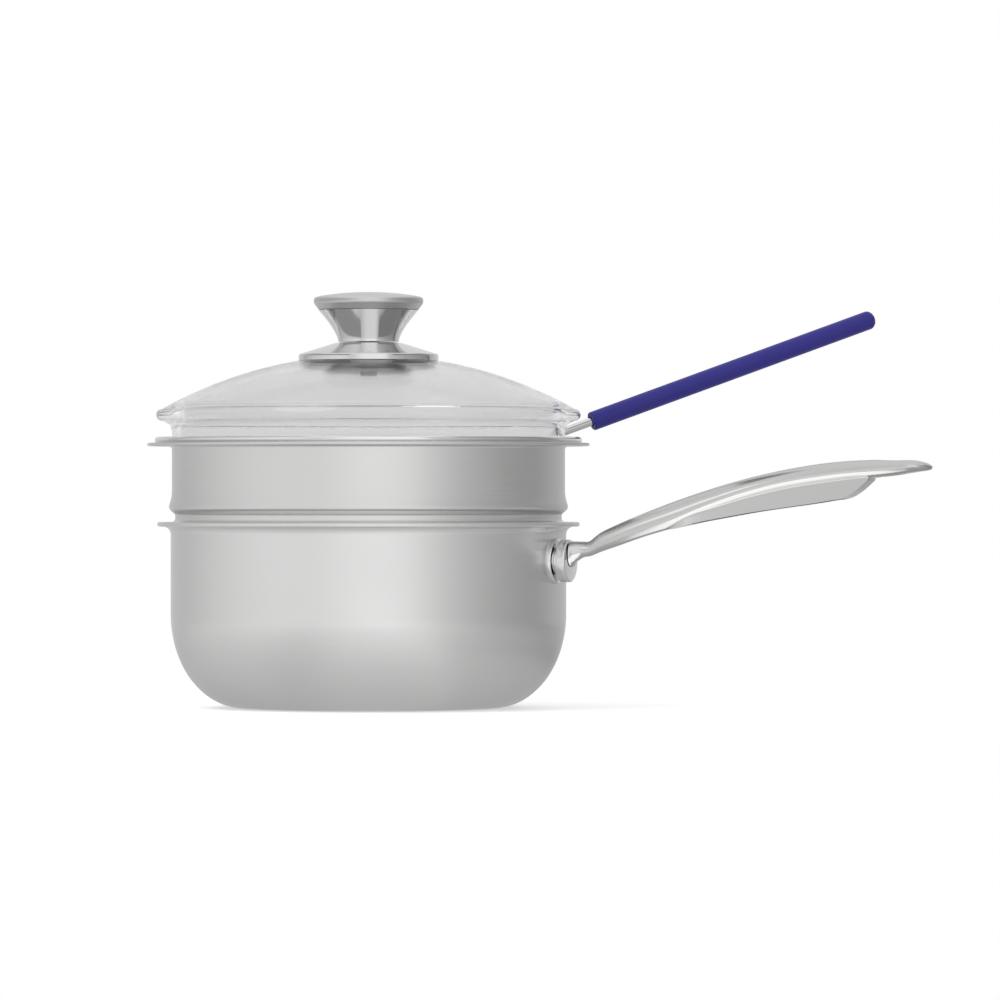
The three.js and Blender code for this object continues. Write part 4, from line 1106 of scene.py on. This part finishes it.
def makeKnobBase():
    k = knob
    lipRoot = k["baseRadius"] - k["baseLip"]
    edgeFoot = domeZ(k["baseRadius"]) + k["baseGap"]
    topRun, topDrop = k["baseTop"]
    rootRound, footRound, edgeRound, topRound = k["baseRounds"]
    recess = domeLine(lid["hole"], lipRoot, 0, 2 * lid["gap"] + lid["seal"], steps=6)
    rest = softened([
        recess[-1] + (0,), (lipRoot, domeZ(lipRoot) + k["baseGap"], rootRound),
        (k["baseRadius"], edgeFoot, footRound), (k["baseRadius"], edgeFoot + k["baseEdge"], edgeRound),
        (k["neck"] + topRun, lidTop + k["baseRise"] - topDrop, topRound),
        (lid["hole"], lidTop + k["baseRise"], 0)])
    fixing("knobBase", recess[:-1] + rest, "knob_base", knobSteel, k["segments"])


def makeKnobBody():
    k, neck, height = knob, knob["neck"], knob["height"]
    pullOut, pullUp = k["flareBend"]
    outside = bend(
        (neck, knobFoot + k["flareStart"] * height), (neck + pullOut, knobFoot + pullUp * height),
        (k["mouth"], knobMouth), steps=26)
    inside = [(r - k["wall"], z) for r, z in outside if z > webTop + k["webRun"]][::-1]
    foot = knobFoot - lid["gap"] + k["footGap"]
    outline = [(lid["hole"], foot), (neck - k["footRound"], foot), (neck, foot + k["footRound"])] + outside
    outline += inside + [(inside[-1][0] - k["webRound"], webTop), (lid["hole"], webTop)]
    fixing("knobBody", outline, "knob_body", knobSteel, k["segments"])


def makeInsert():
    k = knob
    bore, foot = k["screw"] + lid["gap"], webTop + lid["gap"]
    start, top = foot + k["boreStart"], foot + k["insertHeight"]
    boreRound, edgeRound = k["insertRounds"]
    sleeve = softened([
        (bore, start, 0), (bore, foot, boreRound), (k["insert"], foot, edgeRound),
        (k["insert"], top, edgeRound), (bore, top, boreRound), (bore, start, 0)])
    fixing("knobInsert", sleeve[:-1], "knob_insert", gripSteel, k["fixingSegments"])


def makeKnobCap():
    k = knob
    foot = knobMouth + lid["gap"]
    edge, top = foot + k["capEdge"], foot + k["capHeight"]
    spigot, spigotFoot = k["mouth"] - k["wall"] - k["spigot"], foot - k["spigot"]
    bore = spigot - k["wall"]
    corners = [(k["mouth"], foot, 0)]
    corners += [(k["capRadius"] - inset, edge + rise, soft) for inset, rise, soft in k["capRim"]]
    corners += [(r, top - drop, soft) for r, drop, soft in k["capCrown"]]
    crown = softened(corners + [(0, top, 0)], steps=10)
    inner = [(0, edge), (bore, edge), (bore, spigotFoot), (spigot, spigotFoot), (spigot, foot)]
    fixing("knobCap", inner + crown, "knob_cap", satinSteel, k["segments"])


def makeScrew():
    k, gap = knob, lid["gap"]
    seat = domeZ(0, lid["glass"]) - 2 * gap - lid["seal"] - lid["washerThick"] - gap
    low = seat - k["headHeight"]
    end = webTop + gap + k["engage"]
    socketFloor, socketMouth, socketDepth = k["socket"]
    edgeRun, edgeDrop = k["headEdge"]
    tipRun, tipRise = k["screwTip"]
    head = softened([
        (0, low + socketDepth, 0), (socketFloor, low + socketDepth, 0), (socketMouth, low, k["socketRound"]),
        (k["head"] - edgeRun, low, k["headRound"]), (k["head"], seat - edgeDrop, k["headRound"]),
        (k["head"], seat, k["seatRound"]), (k["screw"], seat, 0)])
    outline = head + [(k["screw"], end - tipRise), (k["screw"] - tipRun, end), (0, end)]
    fixing("knobScrew", outline, "knob_screw", gripSteel, k["fixingSegments"])


makeGlass()
makeSeals()
makeKnobBase()
makeKnobBody()
makeInsert()
makeKnobCap()
makeScrew()
print("lid ready")

scene.view_settings.view_transform = "Standard"
